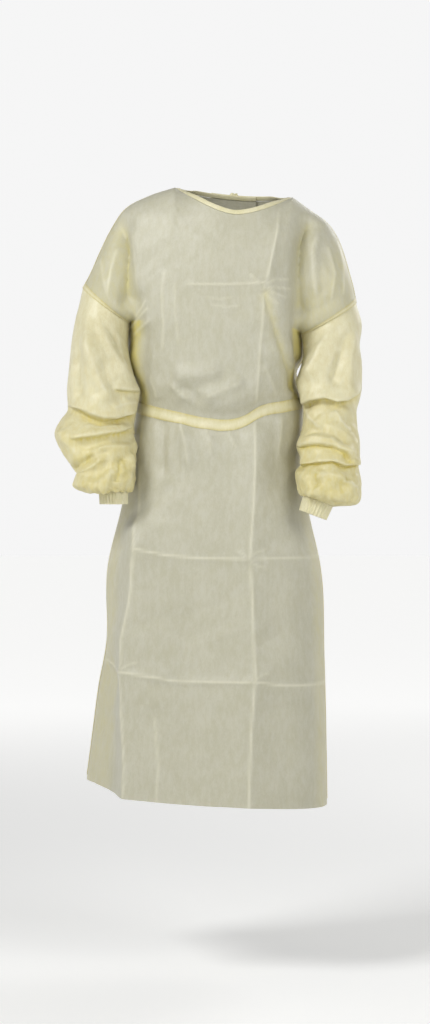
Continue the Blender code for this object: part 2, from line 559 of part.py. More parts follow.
def add_tails(back, normals, shader):
    """The belt's and the neck tie's hanging ends, down the over back on both sides of the middle."""
    middle = back.shape[1] // 2
    belt_foot = len(SKIRT_ROWS)
    for side, name in ((RIGHT, "right"), (LEFT, "left")):
        cell = slice(middle - 1, middle + 1) if side == RIGHT else slice(middle, middle + 2)
        for kind, rows in (("belt", slice(belt_foot - TAIL_ROWS[side]["belt"], belt_foot + 1)),
                           ("neck", slice(-TAIL_ROWS[side]["neck"] - 1, None))):
            add_tail(kind + "_tail_" + name, back[rows, cell], normals[rows, cell], TAIL_WIDTH[kind], shader)


def tuck_in(back, normals):
    """The under back's points: the back's own, let in under the other back near the middle."""
    u = columns_across()
    over_edge = len(u) // 2 - LAP_CELLS
    lap = ease((u - u[SHOULDER_CELLS]) / (u[over_edge] - u[SHOULDER_CELLS]))[None, :, None]
    return back - normals * lap * LAP_STEP


def main():
    for piece in list(bpy.data.objects):
        bpy.data.objects.remove(piece)
    bpy.context.scene.collection.children.link(bpy.data.collections.new("isolation_gown"))
    body_cloth = material("nonwoven_body", BODY_CLOTH)
    sleeve_cloth = material("nonwoven_sleeve", SLEEVE_CLOTH)
    doubled_cloth = material("nonwoven_doubled", DOUBLED_CLOTH)

    body, normals = {}, {}
    for face in (FRONT, BACK):
        body[face], normals[face] = body_grid(face)
    for edge in (np.s_[:-YOKE_CELLS, 0], np.s_[:-YOKE_CELLS, -1], np.s_[-1, :]):
        normals[FRONT][edge], normals[BACK][edge] = share_normals(normals[FRONT][edge], normals[BACK][edge])

    add_belt(body, normals, doubled_cloth)
    add_neck_binding(body, normals, tuck_in(body[BACK], normals[BACK]), doubled_cloth)
    add_tails(body[BACK], normals[BACK], doubled_cloth)
    for side in (RIGHT, LEFT):
        add_sleeve(side, body, normals, sleeve_cloth, doubled_cloth)
    for grid in body.values():
        for edge in (0, -1):
            pull_back(grid[:-YOKE_CELLS], edge, 1, SEAM / 2)
        for shoulder in (grid[:, :SHOULDER_CELLS + 1], grid[:, -SHOULDER_CELLS - 1:]):
            pull_back(shoulder, -1, 0, SEAM / 2)
    add_wall("front", body[FRONT], body[FRONT] - normals[FRONT] * WALL, body_cloth)

    middle = body[BACK].shape[1] // 2
    over = np.s_[:, middle - LAP_CELLS:]
    under = np.s_[:, :middle + LAP_CELLS + 1]
    tucked = tuck_in(body[BACK], normals[BACK])
    add_wall("back_left", body[BACK][over], (body[BACK] - normals[BACK] * WALL)[over], body_cloth)
    add_wall("back_right", tucked[under], (tucked - normals[BACK] * WALL)[under], body_cloth)


main()
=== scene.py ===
import math

import bmesh
import bpy
import numpy as np
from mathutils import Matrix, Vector, noise


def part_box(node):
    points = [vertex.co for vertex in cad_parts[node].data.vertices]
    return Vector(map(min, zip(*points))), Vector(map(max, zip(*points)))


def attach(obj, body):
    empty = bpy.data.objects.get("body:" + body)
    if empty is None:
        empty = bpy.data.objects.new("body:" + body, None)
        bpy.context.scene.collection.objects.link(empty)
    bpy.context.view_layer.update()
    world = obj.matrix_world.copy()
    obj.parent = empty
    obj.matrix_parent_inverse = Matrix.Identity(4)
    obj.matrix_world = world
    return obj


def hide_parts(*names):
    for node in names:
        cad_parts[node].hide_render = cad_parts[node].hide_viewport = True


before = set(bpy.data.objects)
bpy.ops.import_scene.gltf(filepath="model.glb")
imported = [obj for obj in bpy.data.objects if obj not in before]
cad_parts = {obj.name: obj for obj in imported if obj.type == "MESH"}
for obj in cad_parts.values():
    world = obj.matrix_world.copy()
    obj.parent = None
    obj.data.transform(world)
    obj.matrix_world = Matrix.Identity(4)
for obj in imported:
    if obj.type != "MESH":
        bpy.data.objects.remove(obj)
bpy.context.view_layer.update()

# An isolation gown in spunbond nonwoven, filled out as worn, open at the neck, hem and cuffs.
# Metres unless a comment says millimetres, +Z up. The front faces -Y and +X is the gown's own left,
# as in the frame.
MM_PER_M = 1000

# Cloth and seams
CLOTH_THICK = 0.0008
SEAM = 0.0003
NECK_SEAM = 0.0006
LAP_STEP = 0.0032
EDGE_REST = (1.0, 0.72, 0.40, 0.15)  # how far the over back lies down, column by column from its edge
MEET_ABOVE = 0.35  # cosine between two edges that still share their lean
SMOOTH_UNDER = 55.0  # degrees between faces that are shaded as one
FRONT, BACK = -1, 1
RIGHT, LEFT = -1, 1

# Nominal heights; the line tables below say how each edge leaves them
ARMPIT_Z = -0.2596
BELT_Z = -0.4150
HEM_Z = -1.1280
BELT_REACH = 0.13

# The belt, the groove where its fold shows (place and width over half its own) and its crown
BELT_WIDTH = 0.0210
BELT_THICK = 0.0016
BELT_GROOVE = 0.0004
BELT_GROOVE_PLACE = (0.30, 0.12)
BELT_CROWN = (0.85, 0.40)
BELT_CROWN_POWER = 10

# Fine grid: cells across the neck, each shoulder and the yoke, and rows down the skirt and chest
NECK_CELLS = 60
SHOULDER_CELLS = 48
YOKE_CELLS = 72
LAP_CELLS = 12
SKIRT_CELLS = 180
BELT_CELLS = 10
CHEST_CELLS = 36
SLEEVE_CELLS = 200
CUFF_CELLS = 20

# Body sections, round the gown's right side, front, left side and back
SECTION_COLUMNS = ("height", "right", "left", "front", "back", "right_y", "left_y")
SECTIONS = (
    (-0.2596, 0.1758, 0.1369, 0.116, 0.106, 0.000, 0.000),
    (-0.2850, 0.1810, 0.1425, 0.117, 0.104, 0.038, 0.036),
    (-0.3200, 0.1820, 0.1420, 0.117, 0.100, 0.044, 0.040),
    (-0.3450, 0.1790, 0.1312, 0.115, 0.096, 0.044, 0.040),
    (-0.3800, 0.1665, 0.1350, 0.109, 0.091, 0.038, 0.032),
    (-0.4045, 0.1635, 0.1385, 0.098, 0.087, 0.028, 0.024),
    (-0.4255, 0.1670, 0.1430, 0.098, 0.088, 0.028, 0.024),
    (-0.4500, 0.1710, 0.1440, 0.105, 0.095, 0.032, 0.030),
    (-0.5200, 0.1750, 0.1400, 0.114, 0.112, 0.028, 0.028),
    (-0.6000, 0.1940, 0.1520, 0.121, 0.126, 0.022, 0.016),
    (-0.7000, 0.2180, 0.1740, 0.127, 0.139, 0.020, 0.004),
    (-0.8600, 0.2230, 0.1810, 0.136, 0.150, 0.035, 0.000),
    (-0.9300, 0.2365, 0.1830, 0.142, 0.156, 0.055, 0.000),
    (-1.0300, 0.2505, 0.1850, 0.148, 0.163, 0.085, 0.000),
    (-1.1280, 0.2644, 0.1865, 0.154, 0.172, 0.125, 0.000),
)
SECTION_POWER = 0.83
YOKE_POWER = 0.77

# Heights of the shaped edges across the gown, from its right side line to its left
BELT_FRONT = ((-1, -0.401), (-0.55, -0.418), (-0.31, -0.429), (-0.09, -0.441), (0.01, -0.4435),
              (0.11, -0.436), (0.22, -0.421), (0.50, -0.408), (1, -0.3965))
BELT_BACK = ((-1, -0.401), (0, -0.392), (1, -0.3965))
HEM_FRONT = ((-1, -1.107), (-0.85, -1.105), (-0.62, -1.111), (0, -1.126), (0.5, -1.134), (1, -1.138))
HEM_BACK = ((-1, -1.107), (0, -1.124), (1, -1.138))
ARMPIT_HEIGHT = ((-1, -0.2485), (1, -0.2707))

# Neck edge of the panels, below the binding
NECK_U = 0.36
NECK_X = 0.0145
NECK_HALF = 0.1085
NECK_SIDE = {RIGHT: -0.001, LEFT: -0.019}
NECK_DEPTH = {FRONT: 0.094, BACK: 0.072}
NECK_DROP = {FRONT: 0.052, BACK: 0.003}
NECK_LEAN = {FRONT: 41.0, BACK: 50.0}
NECK_LEAN_POWER = 2.2
NECK_ROUND_POWERS = (2.4, 0.8)
NECK_DIP_POWER = 1.7
NECK_PULL_POWER = 1.2
BINDING_TALL = 0.0090
BINDING_THICK = 0.0024
BINDING_EASE = 8
BINDING_STITCH = (0.28, 0.47)

# Shoulder line from the neck out to the top of the armhole: x, z
SHOULDER = {
    RIGHT: ((-0.094, -0.001), (-0.141, -0.016), (-0.187, -0.041), (-0.211, -0.076),
            (-0.233, -0.120), (-0.252, -0.163), (-0.2646, -0.1856)),
    LEFT: ((0.123, -0.019), (0.157, -0.044), (0.187, -0.066), (0.205, -0.092),
           (0.2175, -0.123), (0.2265, -0.154), (0.235, -0.185), (0.2405, -0.2133)),
}
ARMHOLE_DEPTH = 0.066
ARMHOLE_DROOP = 0.010
ARM_FROM_U = 0.42
YOKE_SAMPLES = 241

# Sleeve rings from the armhole to the wrist, then the two ends of the cuff
RING_COLUMNS = ("inner_x", "inner_z", "outer_x", "outer_z", "middle_y", "depth")
SLEEVE_RINGS = {
    RIGHT: (
        (-0.1758, -0.2485, -0.2646, -0.1856, 0.000, 0.066),
        (-0.1805, -0.2859, -0.2762, -0.2416, -0.013, 0.066),
        (-0.1753, -0.3234, -0.2850, -0.2920, -0.027, 0.066),
        (-0.1657, -0.3571, -0.2890, -0.3424, -0.036, 0.064),
        (-0.1582, -0.3796, -0.2904, -0.3759, -0.038, 0.062),
        (-0.1615, -0.4020, -0.2898, -0.4020, -0.044, 0.058),
        (-0.1650, -0.4206, -0.2913, -0.4160, -0.048, 0.057),
        (-0.1675, -0.4392, -0.3036, -0.4328, -0.051, 0.061),
        (-0.1681, -0.4614, -0.3135, -0.4559, -0.059, 0.065),
        (-0.1614, -0.4817, -0.3062, -0.4798, -0.067, 0.062),
        (-0.1621, -0.4964, -0.2912, -0.5037, -0.073, 0.060),
        (-0.1646, -0.5165, -0.2744, -0.5256, -0.081, 0.057),
        (-0.1662, -0.5311, -0.2704, -0.5339, -0.086, 0.057),
        (-0.1669, -0.5493, -0.2772, -0.5512, -0.093, 0.057),
        (-0.1695, -0.5621, -0.2661, -0.5593, -0.098, 0.049),
        (-0.1745, -0.5640, -0.2425, -0.5657, -0.100, 0.037),
    ),
    LEFT: (
        (0.1369, -0.2707, 0.2405, -0.2133, 0.000, 0.066),
        (0.1425, -0.3007, 0.2503, -0.2545, -0.013, 0.066),
        (0.1385, -0.3270, 0.2462, -0.2938, -0.026, 0.066),
        (0.1325, -0.3458, 0.2477, -0.3237, -0.033, 0.065),
        (0.1268, -0.3629, 0.2499, -0.3647, -0.037, 0.063),
        (0.1338, -0.3835, 0.2476, -0.3835, -0.043, 0.060),
        (0.1409, -0.4040, 0.2407, -0.4076, -0.047, 0.057),
        (0.1406, -0.4300, 0.2375, -0.4245, -0.053, 0.057),
        (0.1366, -0.4540, 0.2406, -0.4504, -0.062, 0.060),
        (0.1277, -0.4798, 0.2428, -0.4798, -0.072, 0.062),
        (0.1332, -0.5019, 0.2414, -0.5037, -0.080, 0.060),
        (0.1348, -0.5147, 0.2383, -0.5165, -0.085, 0.058),
        (0.1246, -0.5312, 0.2451, -0.5384, -0.092, 0.061),
        (0.1261, -0.5494, 0.2437, -0.5620, -0.099, 0.060),
        (0.1300, -0.5621, 0.2370, -0.5801, -0.104, 0.054),
        (0.1355, -0.5700, 0.2233, -0.5883, -0.106, 0.041),
    ),
}
CUFF_RINGS = {
    RIGHT: ((-0.1784, -0.5585, -0.2298, -0.5585, -0.100, 0.027),
            (-0.1781, -0.5860, -0.2277, -0.5860, -0.107, 0.027)),
    LEFT: ((0.1403, -0.5675, 0.1926, -0.5874, -0.106, 0.027),
           (0.1318, -0.5964, 0.1796, -0.6144, -0.114, 0.027)),
}
ARMHOLE_SHARE = (1, 0.6, 0.25, 0)
CUFF_TUCK = 0.10
CUFF_WAVES = 26
CUFF_RIPPLE = 0.0011
WRIST_WAVES = 17
WRIST_RIPPLE = 0.0022
WRIST_REACH = 0.20
WRIST_GATHER = 0.12
WRIST_SWAY, CUFF_SWAY = (1.3, 3), (0.8, 4)
WRIST_SWELL = (0.25, 5)

# Folds, seen from straight in front of the face they are on. "soft" is a round fold, "steady" one
# that doesn't die away at its ends, "crease" a pointed one as pressed in the packet, "tent" two flat
# slopes that meet at a crest, and "tuck" cloth that rolls over on the left of its path and drops
# steeply on the right. A row holds, in millimetres, how far the crest stands out, or below zero how
# deep the valley is, then half its width and its path: x, z, x, z and so on.
FOLD_TAPER = {"soft": 0.25, "steady": 0.25, "crease": 0.09, "tent": 0.22, "tuck": 0.18}
END_SHARE = {"soft": 0.35, "steady": 1.0, "crease": 0.0, "tent": 0.0, "tuck": 0.0}
CREASE_ROUND = 0.0012
TENT_ROUND = 0.03
TUCK_EDGE = 0.0011
TUCK_STEEP = 1.8
TUCK_UNDER = 0.7
TUCK_DROOP = 0.55
SIDE_FADE = 0.16
TOP_FADE_SHARE = 0.30
BELT_FADE_ROWS = 5
SLEEVE_FADE = 0.45
SLEEVE_START_RINGS = 1.5
SLEEVE_END_SHARE = 0.05
FRONT_FOLDS = (
    # the large ones, as in the frame
    ("steady", -19, 21, -198, -70, -187, -139, -177, -212),
    ("steady", -16, 17, 148, -75, 138, -130, 135, -184, 135, -235),
    ("soft", 9, 22, 74, -175, 85, -263, 106, -328, 120, -372),
    ("soft", 6, 20, 97, -60, 81, -134, 70, -182),
    ("steady", 8, 30, 52, -470, 46, -587, 40, -686, 46, -794, 48, -900, 42, -1002, 36, -1140),
    ("steady", 16, 28, -152, -640, -161, -769, -172, -832, -178, -961, -174, -1025, -172, -1140),
    ("steady", -22, 45, -222, -900, -226, -1000, -232, -1140),
    ("soft", -8, 35, -60, -700, -70, -850, -60, -1000, -55, -1140),
    ("soft", 5, 18, -125, -372, -70, -392, -10, -398, 40, -388),
    # valleys beside the arms
    ("crease", -6, 6, -206, -55, -190, -110, -186, -150, -176, -225),
    ("tent", 4, 12, -175, -70, -168, -140, -160, -215),
    ("crease", -8, 7, 160, -60, 143, -110, 138, -165, 139, -245),
    ("tent", 6, 12, 170, -75, 158, -120, 158, -180, 165, -220),
    ("crease", 3, 6, 205, -95, 212, -150, 214, -205),
    ("crease", 2.4, 5, 185, -110, 196, -165, 192, -215),
    ("crease", 2.4, 5, -205, -110, -212, -160, -216, -205),
    ("crease", 2, 4.5, -230, -130, -226, -170, -214, -212),
    ("crease", 2.6, 4, -176, -262, -160, -246, -141, -228),
    ("crease", 2.2, 4, -172, -276, -155, -262, -138, -250),
    ("crease", 2, 4, -168, -246, -158, -232, -146, -214),
    ("soft", -5, 10, -152, -250, -150, -310, -150, -372),
    ("soft", -6, 10, 126, -262, 128, -320, 131, -388),
    # the drape from the chest to the side
    ("crease", -7, 6, 66, -194, 74, -232, 92, -290, 112, -352, 122, -384),
    ("tent", 4, 20, 94, -200, 106, -260, 118, -320),
    # cloth that hangs over the belt
    ("tent", 11, 24, -104, -358, -52, -353, -2, -345),
    ("tent", 8.5, 15, -46, -395, -5, -378, 38, -360),
    ("tent", -5.5, 11, -90, -374, -66, -386, -40, -402),
    ("tent", 4.5, 9, -106, -362, -84, -382, -60, -400),
    ("tent", 3, 14, -140, -350, -128, -378, -124, -398),
    ("tent", 3, 14, 64, -330, 82, -368, 90, -392),
    # flat panels between the packet's creases, and the pull of the belt on the skirt
    ("tent", 6, 90, -200, -683, -47, -690, 180, -686),
    ("tent", 8, 100, -240, -884, -83, -904, 46, -904, 190, -911),
    ("tent", 6.5, 120, 52, -450, 46, -620, 46, -900, 38, -1140, 34, -1500),
    ("tent", 6, 95, -152, -450, -153, -620, -177, -900, -174, -1140, -170, -1500),
    ("tent", 7, 15, -86, -428, -74, -470, -66, -530),
    ("tent", 4.5, 11, -40, -436, -30, -470, -26, -510),
    ("tent", 3, 10, 0, -442, 8, -466, 20, -490),
    ("tent", -5.5, 12, -114, -426, -116, -480, -112, -540),
    ("tent", 3, 10, 100, -420, 98, -460, 90, -510),
    # upright creases from the packet
    ("crease", 3, 6, 100, -22, 90, -90, 81, -134, 70, -186),
    ("crease", 2.2, 5, 68, -181, 61, -300, 52, -410),
    ("crease", 3, 7, 52, -430, 50, -479, 46, -587, 41, -659, 40, -692),
    ("crease", 3.6, 7, 40, -680, 46, -794, 48, -900, 42, -1002, 36, -1190),
    ("crease", 3, 7, -151, -420, -153.5, -487, -153, -578, -152, -695),
    ("crease", 5, 8, -152, -672, -163, -769, -172, -832, -177, -896),
    ("crease", 5, 7, -177, -880, -178, -961, -174, -1025, -172, -1190),
    ("crease", 1.8, 5, -113, -160, -115, -200, -114, -262, -116, -310),
    ("crease", 1.2, 5, -93, -180, -92, -240, -86, -300),
    # level creases from the packet
    ("crease", 2.2, 5, -76, -189, 0, -190, 78, -186),
    ("crease", 1, 4, -40, -212, -12, -217, 14, -213),
    ("crease", 1, 4, -30, -226, 0, -231, 26, -228),
    ("crease", 3, 5.5, -162, -668, -100, -679, -47, -683, 50, -686),
    ("crease", 2.2, 5.5, 30, -686, 100, -684, 180, -681),
    ("crease", 3.5, 5.5, -240, -866, -200, -884, -170, -893),
    ("crease", 4.5, 6, -186, -889, -83, -904, 56, -905),
    ("crease", 3, 5.5, 34, -903, 100, -912, 190, -911),
    ("tent", 8.5, 34, -150, -800, -128, -860, -92, -900),
    ("crease", 1.6, 6, -126, -1150, -120, -1060, -128, -960),
    ("tent", -3, 30, 110, -1150, 106, -1060, 112, -960),
    # crinkles where two packet creases cross
    ("crease", 1.6, 2.2, 68, -190, 88, -180, 118, -178),
    ("crease", 1.8, 2.2, 70, -196, 92, -194, 120, -196),
    ("crease", 1.6, 2.2, 70, -200, 90, -206, 112, -212),
    ("crease", 1.4, 2.2, 68, -204, 78, -216, 92, -226),
    ("crease", 1.4, 2.2, 62, -190, 50, -178, 42, -170),
    ("crease", 1.4, 2.2, 40, -682, 54, -672, 70, -668),
    ("crease", 1.4, 2.2, 40, -690, 54, -698, 72, -702),
    ("crease", 1.2, 2.2, 38, -684, 26, -674, 16, -668),
    ("crease", 1.4, 2.4, -176, -888, -162, -876, -150, -872),
    ("crease", 1.4, 2.4, 48, -902, 60, -892, 74, -888),
)
BACK_FOLDS = (
    # the large ones, as in the frame
    ("steady", 12, 32, -90, -560, -105, -800, -120, -1140),
    ("soft", -8, 30, -35, -640, -40, -850, -45, -1140),
    ("steady", 12, 32, 75, -540, 85, -800, 95, -1140),
    ("soft", 8, 20, -120, -372, -30, -366, 60, -366, 105, -374),
    ("steady", -14, 24, -192, -80, -183, -150, -172, -220),
    ("steady", -14, 24, 148, -85, 140, -140, 134, -225),
    # the packet's creases, the drape from the shoulders and the pull of the belt
    ("crease", 3, 6.5, 118, -40, 112, -200, 108, -396),
    ("crease", 3, 6.5, 100, -430, 106, -700, 112, -1190),
    ("crease", 3.4, 7, -112, -30, -116, -200, -112, -396),
    ("crease", 3.6, 7, -110, -430, -122, -700, -134, -1190),
    ("crease", 2.4, 5.5, -170, -196, -60, -200, 20, -199),
    ("crease", 2.4, 5.5, 10, -197, 90, -200, 150, -194),
    ("crease", 3, 5.5, -220, -676, -60, -684, 20, -682),
    ("crease", 3, 5.5, 10, -680, 90, -684, 175, -678),
    ("crease", 3.4, 6, -245, -890, -60, -902, 20, -900),
    ("crease", 3.4, 6, 10, -898, 90, -904, 185, -898),
    ("tent", 5, 22, -150, -80, -120, -200, -60, -330, -20, -385),
    ("tent", 5, 22, 130, -100, 105, -210, 60, -330, 25, -385),
    ("crease", -5, 7, -200, -80, -186, -150, -174, -235),
    ("crease", -5, 7, 165, -85, 146, -150, 138, -245),
    ("tent", 5, 12, -130, -340, -80, -366, -20, -374, 20, -368),
    ("tent", 4.5, 11, -10, -358, 50, -368, 100, -346),
    ("tent", -4, 11, -120, -368, -60, -384, 10, -384, 80, -374),
    ("tent", 4, 16, -20, -408, -48, -470, -62, -560),
    ("tent", 4, 16, 22, -408, 46, -470, 58, -560),
    ("tent", -4, 18, -120, -420, -140, -520, -160, -640),
    ("tent", -4, 18, 100, -420, 118, -520, 130, -640),
)
RIGHT_SLEEVE_FRONT = (
    # upper sleeve: long slanting folds from the seam to the elbow
    ("soft", 8, 20, -235, -260, -248, -340, -234, -387, -212, -416),
    ("tent", 8, 13, -256, -215, -250, -300, -226, -366, -206, -404),
    ("tent", 5.5, 11, -236, -245, -212, -300, -184, -345, -166, -366),
    ("tent", -6, 12, -268, -290, -266, -350, -262, -400),
    ("tent", 4, 9, -280, -310, -276, -360, -274, -404),
    ("crease", 1.8, 4, -222, -240, -206, -268, -188, -290),
    ("crease", 1.8, 4, -240, -232, -222, -266, -200, -300),
    ("crease", 2, 4, -200, -270, -190, -310, -184, -340),
    # the slit above the elbow, and the tiers under it
    ("tuck", 5, 9, -204, -377, -180, -379, -148, -380),
    ("soft", -6, 13, -200, -384, -150, -390),
    ("tuck", 9, 17, -300, -404, -268, -411, -244, -424, -222, -431, -196, -429, -174, -421, -150, -408),
    ("soft", -6, 10, -285, -420, -258, -426, -232, -440, -203, -438, -160, -428),
    ("tuck", 8, 14, -284, -470, -258, -464, -224, -461, -196, -456, -158, -441),
    ("soft", -7, 9, -286, -482, -240, -478, -205, -472, -165, -466),
    ("tent", 6, 9, -238, -487, -205, -482, -158, -482),
    ("tent", 6, 11, -306, -446, -290, -474, -262, -500),
    ("crease", -7, 6, -276, -524, -258, -510, -238, -497),
    ("tent", 5, 9, -262, -532, -238, -516, -216, -496),
    ("crease", -6, 6, -196, -548, -192, -520, -189, -502),
    ("tent", 5, 8, -176, -556, -172, -520, -170, -486),
    ("tent", 4, 8, -212, -554, -208, -524, -206, -498),
    ("crease", 2.2, 4, -150, -398, -180, -402, -206, -412),
    ("crease", 2.2, 4, -252, -440, -226, -446, -196, -444),
)
RIGHT_SLEEVE_BACK = (
    # upper sleeve, then the tiers
    ("soft", 9, 22, -228, -250, -240, -340, -225, -400),
    ("tent", 5, 14, -246, -230, -244, -320, -214, -392),
    ("tent", 4, 12, -216, -250, -196, -310, -176, -366),
    ("tuck", 9, 16, -292, -396, -262, -410, -225, -414, -160, -400),
    ("soft", -7, 10, -285, -412, -235, -428, -160, -414),
    ("tuck", 8, 14, -286, -468, -240, -458, -200, -452, -160, -458),
    ("soft", -8, 10, -285, -486, -230, -470, -165, -474),
    ("tent", 7, 11, -270, -516, -222, -500, -168, -508),
    ("crease", -5, 6, -250, -546, -236, -524, -224, -508),
    ("crease", -5, 6, -200, -548, -196, -528, -186, -512),
)
LEFT_SLEEVE_FRONT = (
    # upper sleeve
    ("soft", -9, 18, 226, -255, 205, -330, 187, -378),
    ("tent", 11, 16, 196, -246, 178, -290, 158, -332, 140, -366),
    ("tent", 6, 11, 238, -262, 226, -320, 224, -376),
    ("crease", 2.4, 4, 192, -248, 220, -252, 246, -254),
    ("crease", 2, 4, 150, -272, 168, -262, 184, -250),
    ("crease", 2, 4, 144, -300, 156, -290, 168, -276),
    ("tent", -5, 12, 214, -300, 200, -340, 190, -372),
    # the tiers under the elbow
    ("tuck", 9, 16, 122, -418, 138, -405, 152, -396, 178, -392, 200, -399, 220, -396, 238, -384, 256, -372),
    ("soft", -6, 10, 132, -418, 150, -406, 178, -402, 200, -410, 246, -392),
    ("crease", 3, 5, 142, -410, 152, -430, 166, -448),
    ("crease", 3, 5, 196, -414, 206, -434, 226, -456),
    ("tent", -6, 12, 142, -446, 170, -453, 200, -463, 222, -486),
    ("tuck", 7, 12, 118, -484, 140, -479, 165, -477, 190, -480, 212, -492, 236, -524),
    ("tent", 5, 8, 122, -470, 158, -466, 188, -468, 214, -484, 238, -512),
    ("tuck", 7, 11, 118, -522, 138, -514, 164, -510, 190, -508, 214, -516, 250, -512),
    ("tent", 5, 10, 150, -540, 185, -532, 222, -548),
    ("crease", -4, 5, 206, -580, 208, -556, 216, -534),
    ("crease", -4, 5, 152, -566, 158, -548, 160, -530),
    ("crease", 3, 5, 236, -560, 224, -548, 206, -544),
)
LEFT_SLEEVE_BACK = (
    # upper sleeve, then the tiers
    ("soft", 9, 22, 212, -260, 205, -330, 188, -385),
    ("tent", 5, 14, 226, -250, 220, -320, 196, -384),
    ("tent", 4, 12, 182, -262, 166, -310, 148, -360),
    ("tuck", 9, 16, 126, -396, 158, -400, 190, -402, 250, -382),
    ("soft", -7, 10, 132, -408, 185, -414, 245, -396),
    ("tuck", 8, 14, 126, -456, 185, -460, 244, -450),
    ("soft", -8, 10, 130, -472, 180, -474, 240, -470),
    ("tent", 7, 11, 130, -510, 185, -502, 236, -520),
    ("crease", -5, 6, 160, -560, 166, -536, 176, -514),
    ("crease", -5, 6, 214, -568, 210, -544, 204, -524),
)
BODY_FOLDS = {FRONT: FRONT_FOLDS, BACK: BACK_FOLDS}
SLEEVE_FOLDS = {
    RIGHT: {FRONT: RIGHT_SLEEVE_FRONT, BACK: RIGHT_SLEEVE_BACK},
    LEFT: {FRONT: LEFT_SLEEVE_FRONT, BACK: LEFT_SLEEVE_BACK},
}

# Crumpling of the whole cloth: flat facets of these sizes, and how far their edges stand out
CRUMPLE = {
    "body": ((0.120, 0.0030), (0.052, 0.0013), (0.023, 0.0005)),
    "sleeve": ((0.075, 0.0052), (0.036, 0.0032), (0.017, 0.0009)),
}
CRUMPLE_HEADINGS = ((0.81, 0.25, 0.53), (-0.46, 0.33, 0.82), (0.62, -0.41, -0.67))
CRUMPLE_SHIFT = (3.1, 1.7, 5.3)
BEND_SIZE, BEND = 2.2, 0.9
FADE_SIZE, FADE_FROM, FADE_RANGE = 2.8, 0.45, 1.5
CRUMPLE_AT_SIDES = 0.35
CRUMPLE_AT_WRIST = 1.40
CRUMPLE_SEED = 8

# How much the cloth looks doubled, with painted light and shade in the same tone: doubled cloth
# anywhere, painted shade along the fold valleys, and painted light in the shaded strips along the
# body's sides, which start at a share of the way out and grow to full over a second share
DOUBLED_BY = {"body": 0.08, "sleeve": 0.38}
FOLD_PAINTED_SHADE = {"body": 0.70, "sleeve": 0.65}
SIDE_PAINTED_LIGHT = 0.90
SIDE_PAINTED_LIGHT_FROM = {FRONT: (0.58, 0.17), BACK: (0.82, 0.16)}
SIDE_PAINTED_LIGHT_OFF_CHEST = 0.22
DOUBLED_DOWN_SLEEVE = (1.6, 0.2)
VALLEY_PAINTED_SHADE = 0.45

# Painted highlights, pale lines along the crests where the folds catch the light: their width, the height
# from which they are in full, how wide a tent may be for one, how strong they are on tents and tucks,
# and how far behind its edge a tuck has one
HIGHLIGHT_WIDTH = 0.0022
HIGHLIGHT_FULL_HEIGHT = 0.0030
NARROW_TENT = 0.020
HIGHLIGHT_ON_TENT = 0.4
HIGHLIGHT_ON_TUCK = 0.6
TUCK_CREST = 0.003

# Knots at the back and the strip they are tied in. The hanging ends lie this many columns to each
# side. They sway, waver, stand off and twist: how far, and how many radians from end to end.
KNOT_STRIP = {"belt": 0.0078, "neck": 0.0048}
KNOT_STRIP_FLAT = 0.32
KNOT_MARGIN = (0.35, 0.20, 0.35)
KNOT_TURNS = 96
KNOT_LEAN = (0.5, 1.4, 0.5)
KNOT_LIFT = (0, 0.002, 0)
TAIL_WIDTH = {"belt": 0.0195, "neck": 0.0088}
TAIL_THICK = 0.0014
TAIL_LIFT = 0.0010
TAIL_COLUMNS = 3
TAIL_STEPS = 70
TAIL_SWAY, TAIL_WAVER, TAIL_STAND, TAIL_TWIST = (0.006, 4.2), (0.002, 11), (0.003, 5), (0.35, 3.4)
TAIL_SWING = {"belt": 1, "neck": 0.4}
TAIL_TO_KNOT = (0.75, 0.14)
TAIL_TILT = 0.3
TAIL_ABOVE_BOX = 0.004

# Sewn seams: a doubled strip over each, with lock stitches that are drawn coarser than real thread
WELT_CELLS = 2
WELT_THICK = 0.0010
WELT_CROWN = 0.6
STITCH_LONG = 0.0032
STITCH_GAP = 0.0018
STITCH_TAPER = 0.30
THREAD = 0.0007
THREAD_PROUD = 0.3
STRIP_POINTS = 12
STRIP_POWERS = (0.45, 0.60)

# The cloth's web: the size in millimetres, the detail and the roughness of its filaments, clouds and
# patches, and their shares of the tone. The real filaments are 0.03 mm and the bonds 0.7 mm apart:
# both are drawn coarser, so that they show.
WEB_MM, CLOUD_MM, PATCH_MM = (1.8, 3, 0.7), (8, 5, 0.6), (60, 2, 0.5)
WEB_SHARE, CLOUD_SHARE, PATCH_SHARE = 0.40, 0.55, 0.30
BOND_MM = 2.6
BOND_UNEVEN = 0.25
BOND_RELIEF = 0.35
WEB_RELIEF = (0.45, 0.0007)
WEB_SPREAD = (0.52, 0.74)
# strength of the doubled tone, which also carries painted light and shade
DOUBLE_AND_LIGHT_STRENGTH = 1.9
LAYING_STRETCH = (1, 1, 0.40)
TWIST_MM = 0.8
TWIST_RELIEF = (0.4, 0.0002)
# painted highlight along the crests: its share of the tone and its colour
HIGHLIGHT_SHARE = 0.45
HIGHLIGHT_COLOUR = "#f2efd8"

# The camera stands where the photograph was taken from, a little below the belt. The backdrop is
# bright up to one steepness of view and dim from a second; the floor glows more from near to far.
RANGE = ("From Min", "From Max", "To Min", "To Max")
BACKDROP_EDGE = (0.26, 0.50)
BACKDROP = (0.92, 0.12)
FLOOR_Z = -1.445
FLOOR_RADIUS = 40
FLOOR_REACH = (1.2, 6.0)
FLOOR_GLOW = (0.20, 0.745)
CAMERA_PLACE = (-0.02035, -4.2, -0.60)
CAMERA_LENS = 79.8
SENSOR = 36.0
LAMPS = {  # place, width and power
    "key": ((-2.1, -2.0, 1.9), 1.2, 76),
    "fill": ((2.2, -2.8, 1.1), 1.8, 42),
    "back": ((1.8, 2.6, 1.2), 1.6, 34),
}
LAMPS_AIM = (0, 0, -0.6)


# ---------------------------------------------------------------- shape

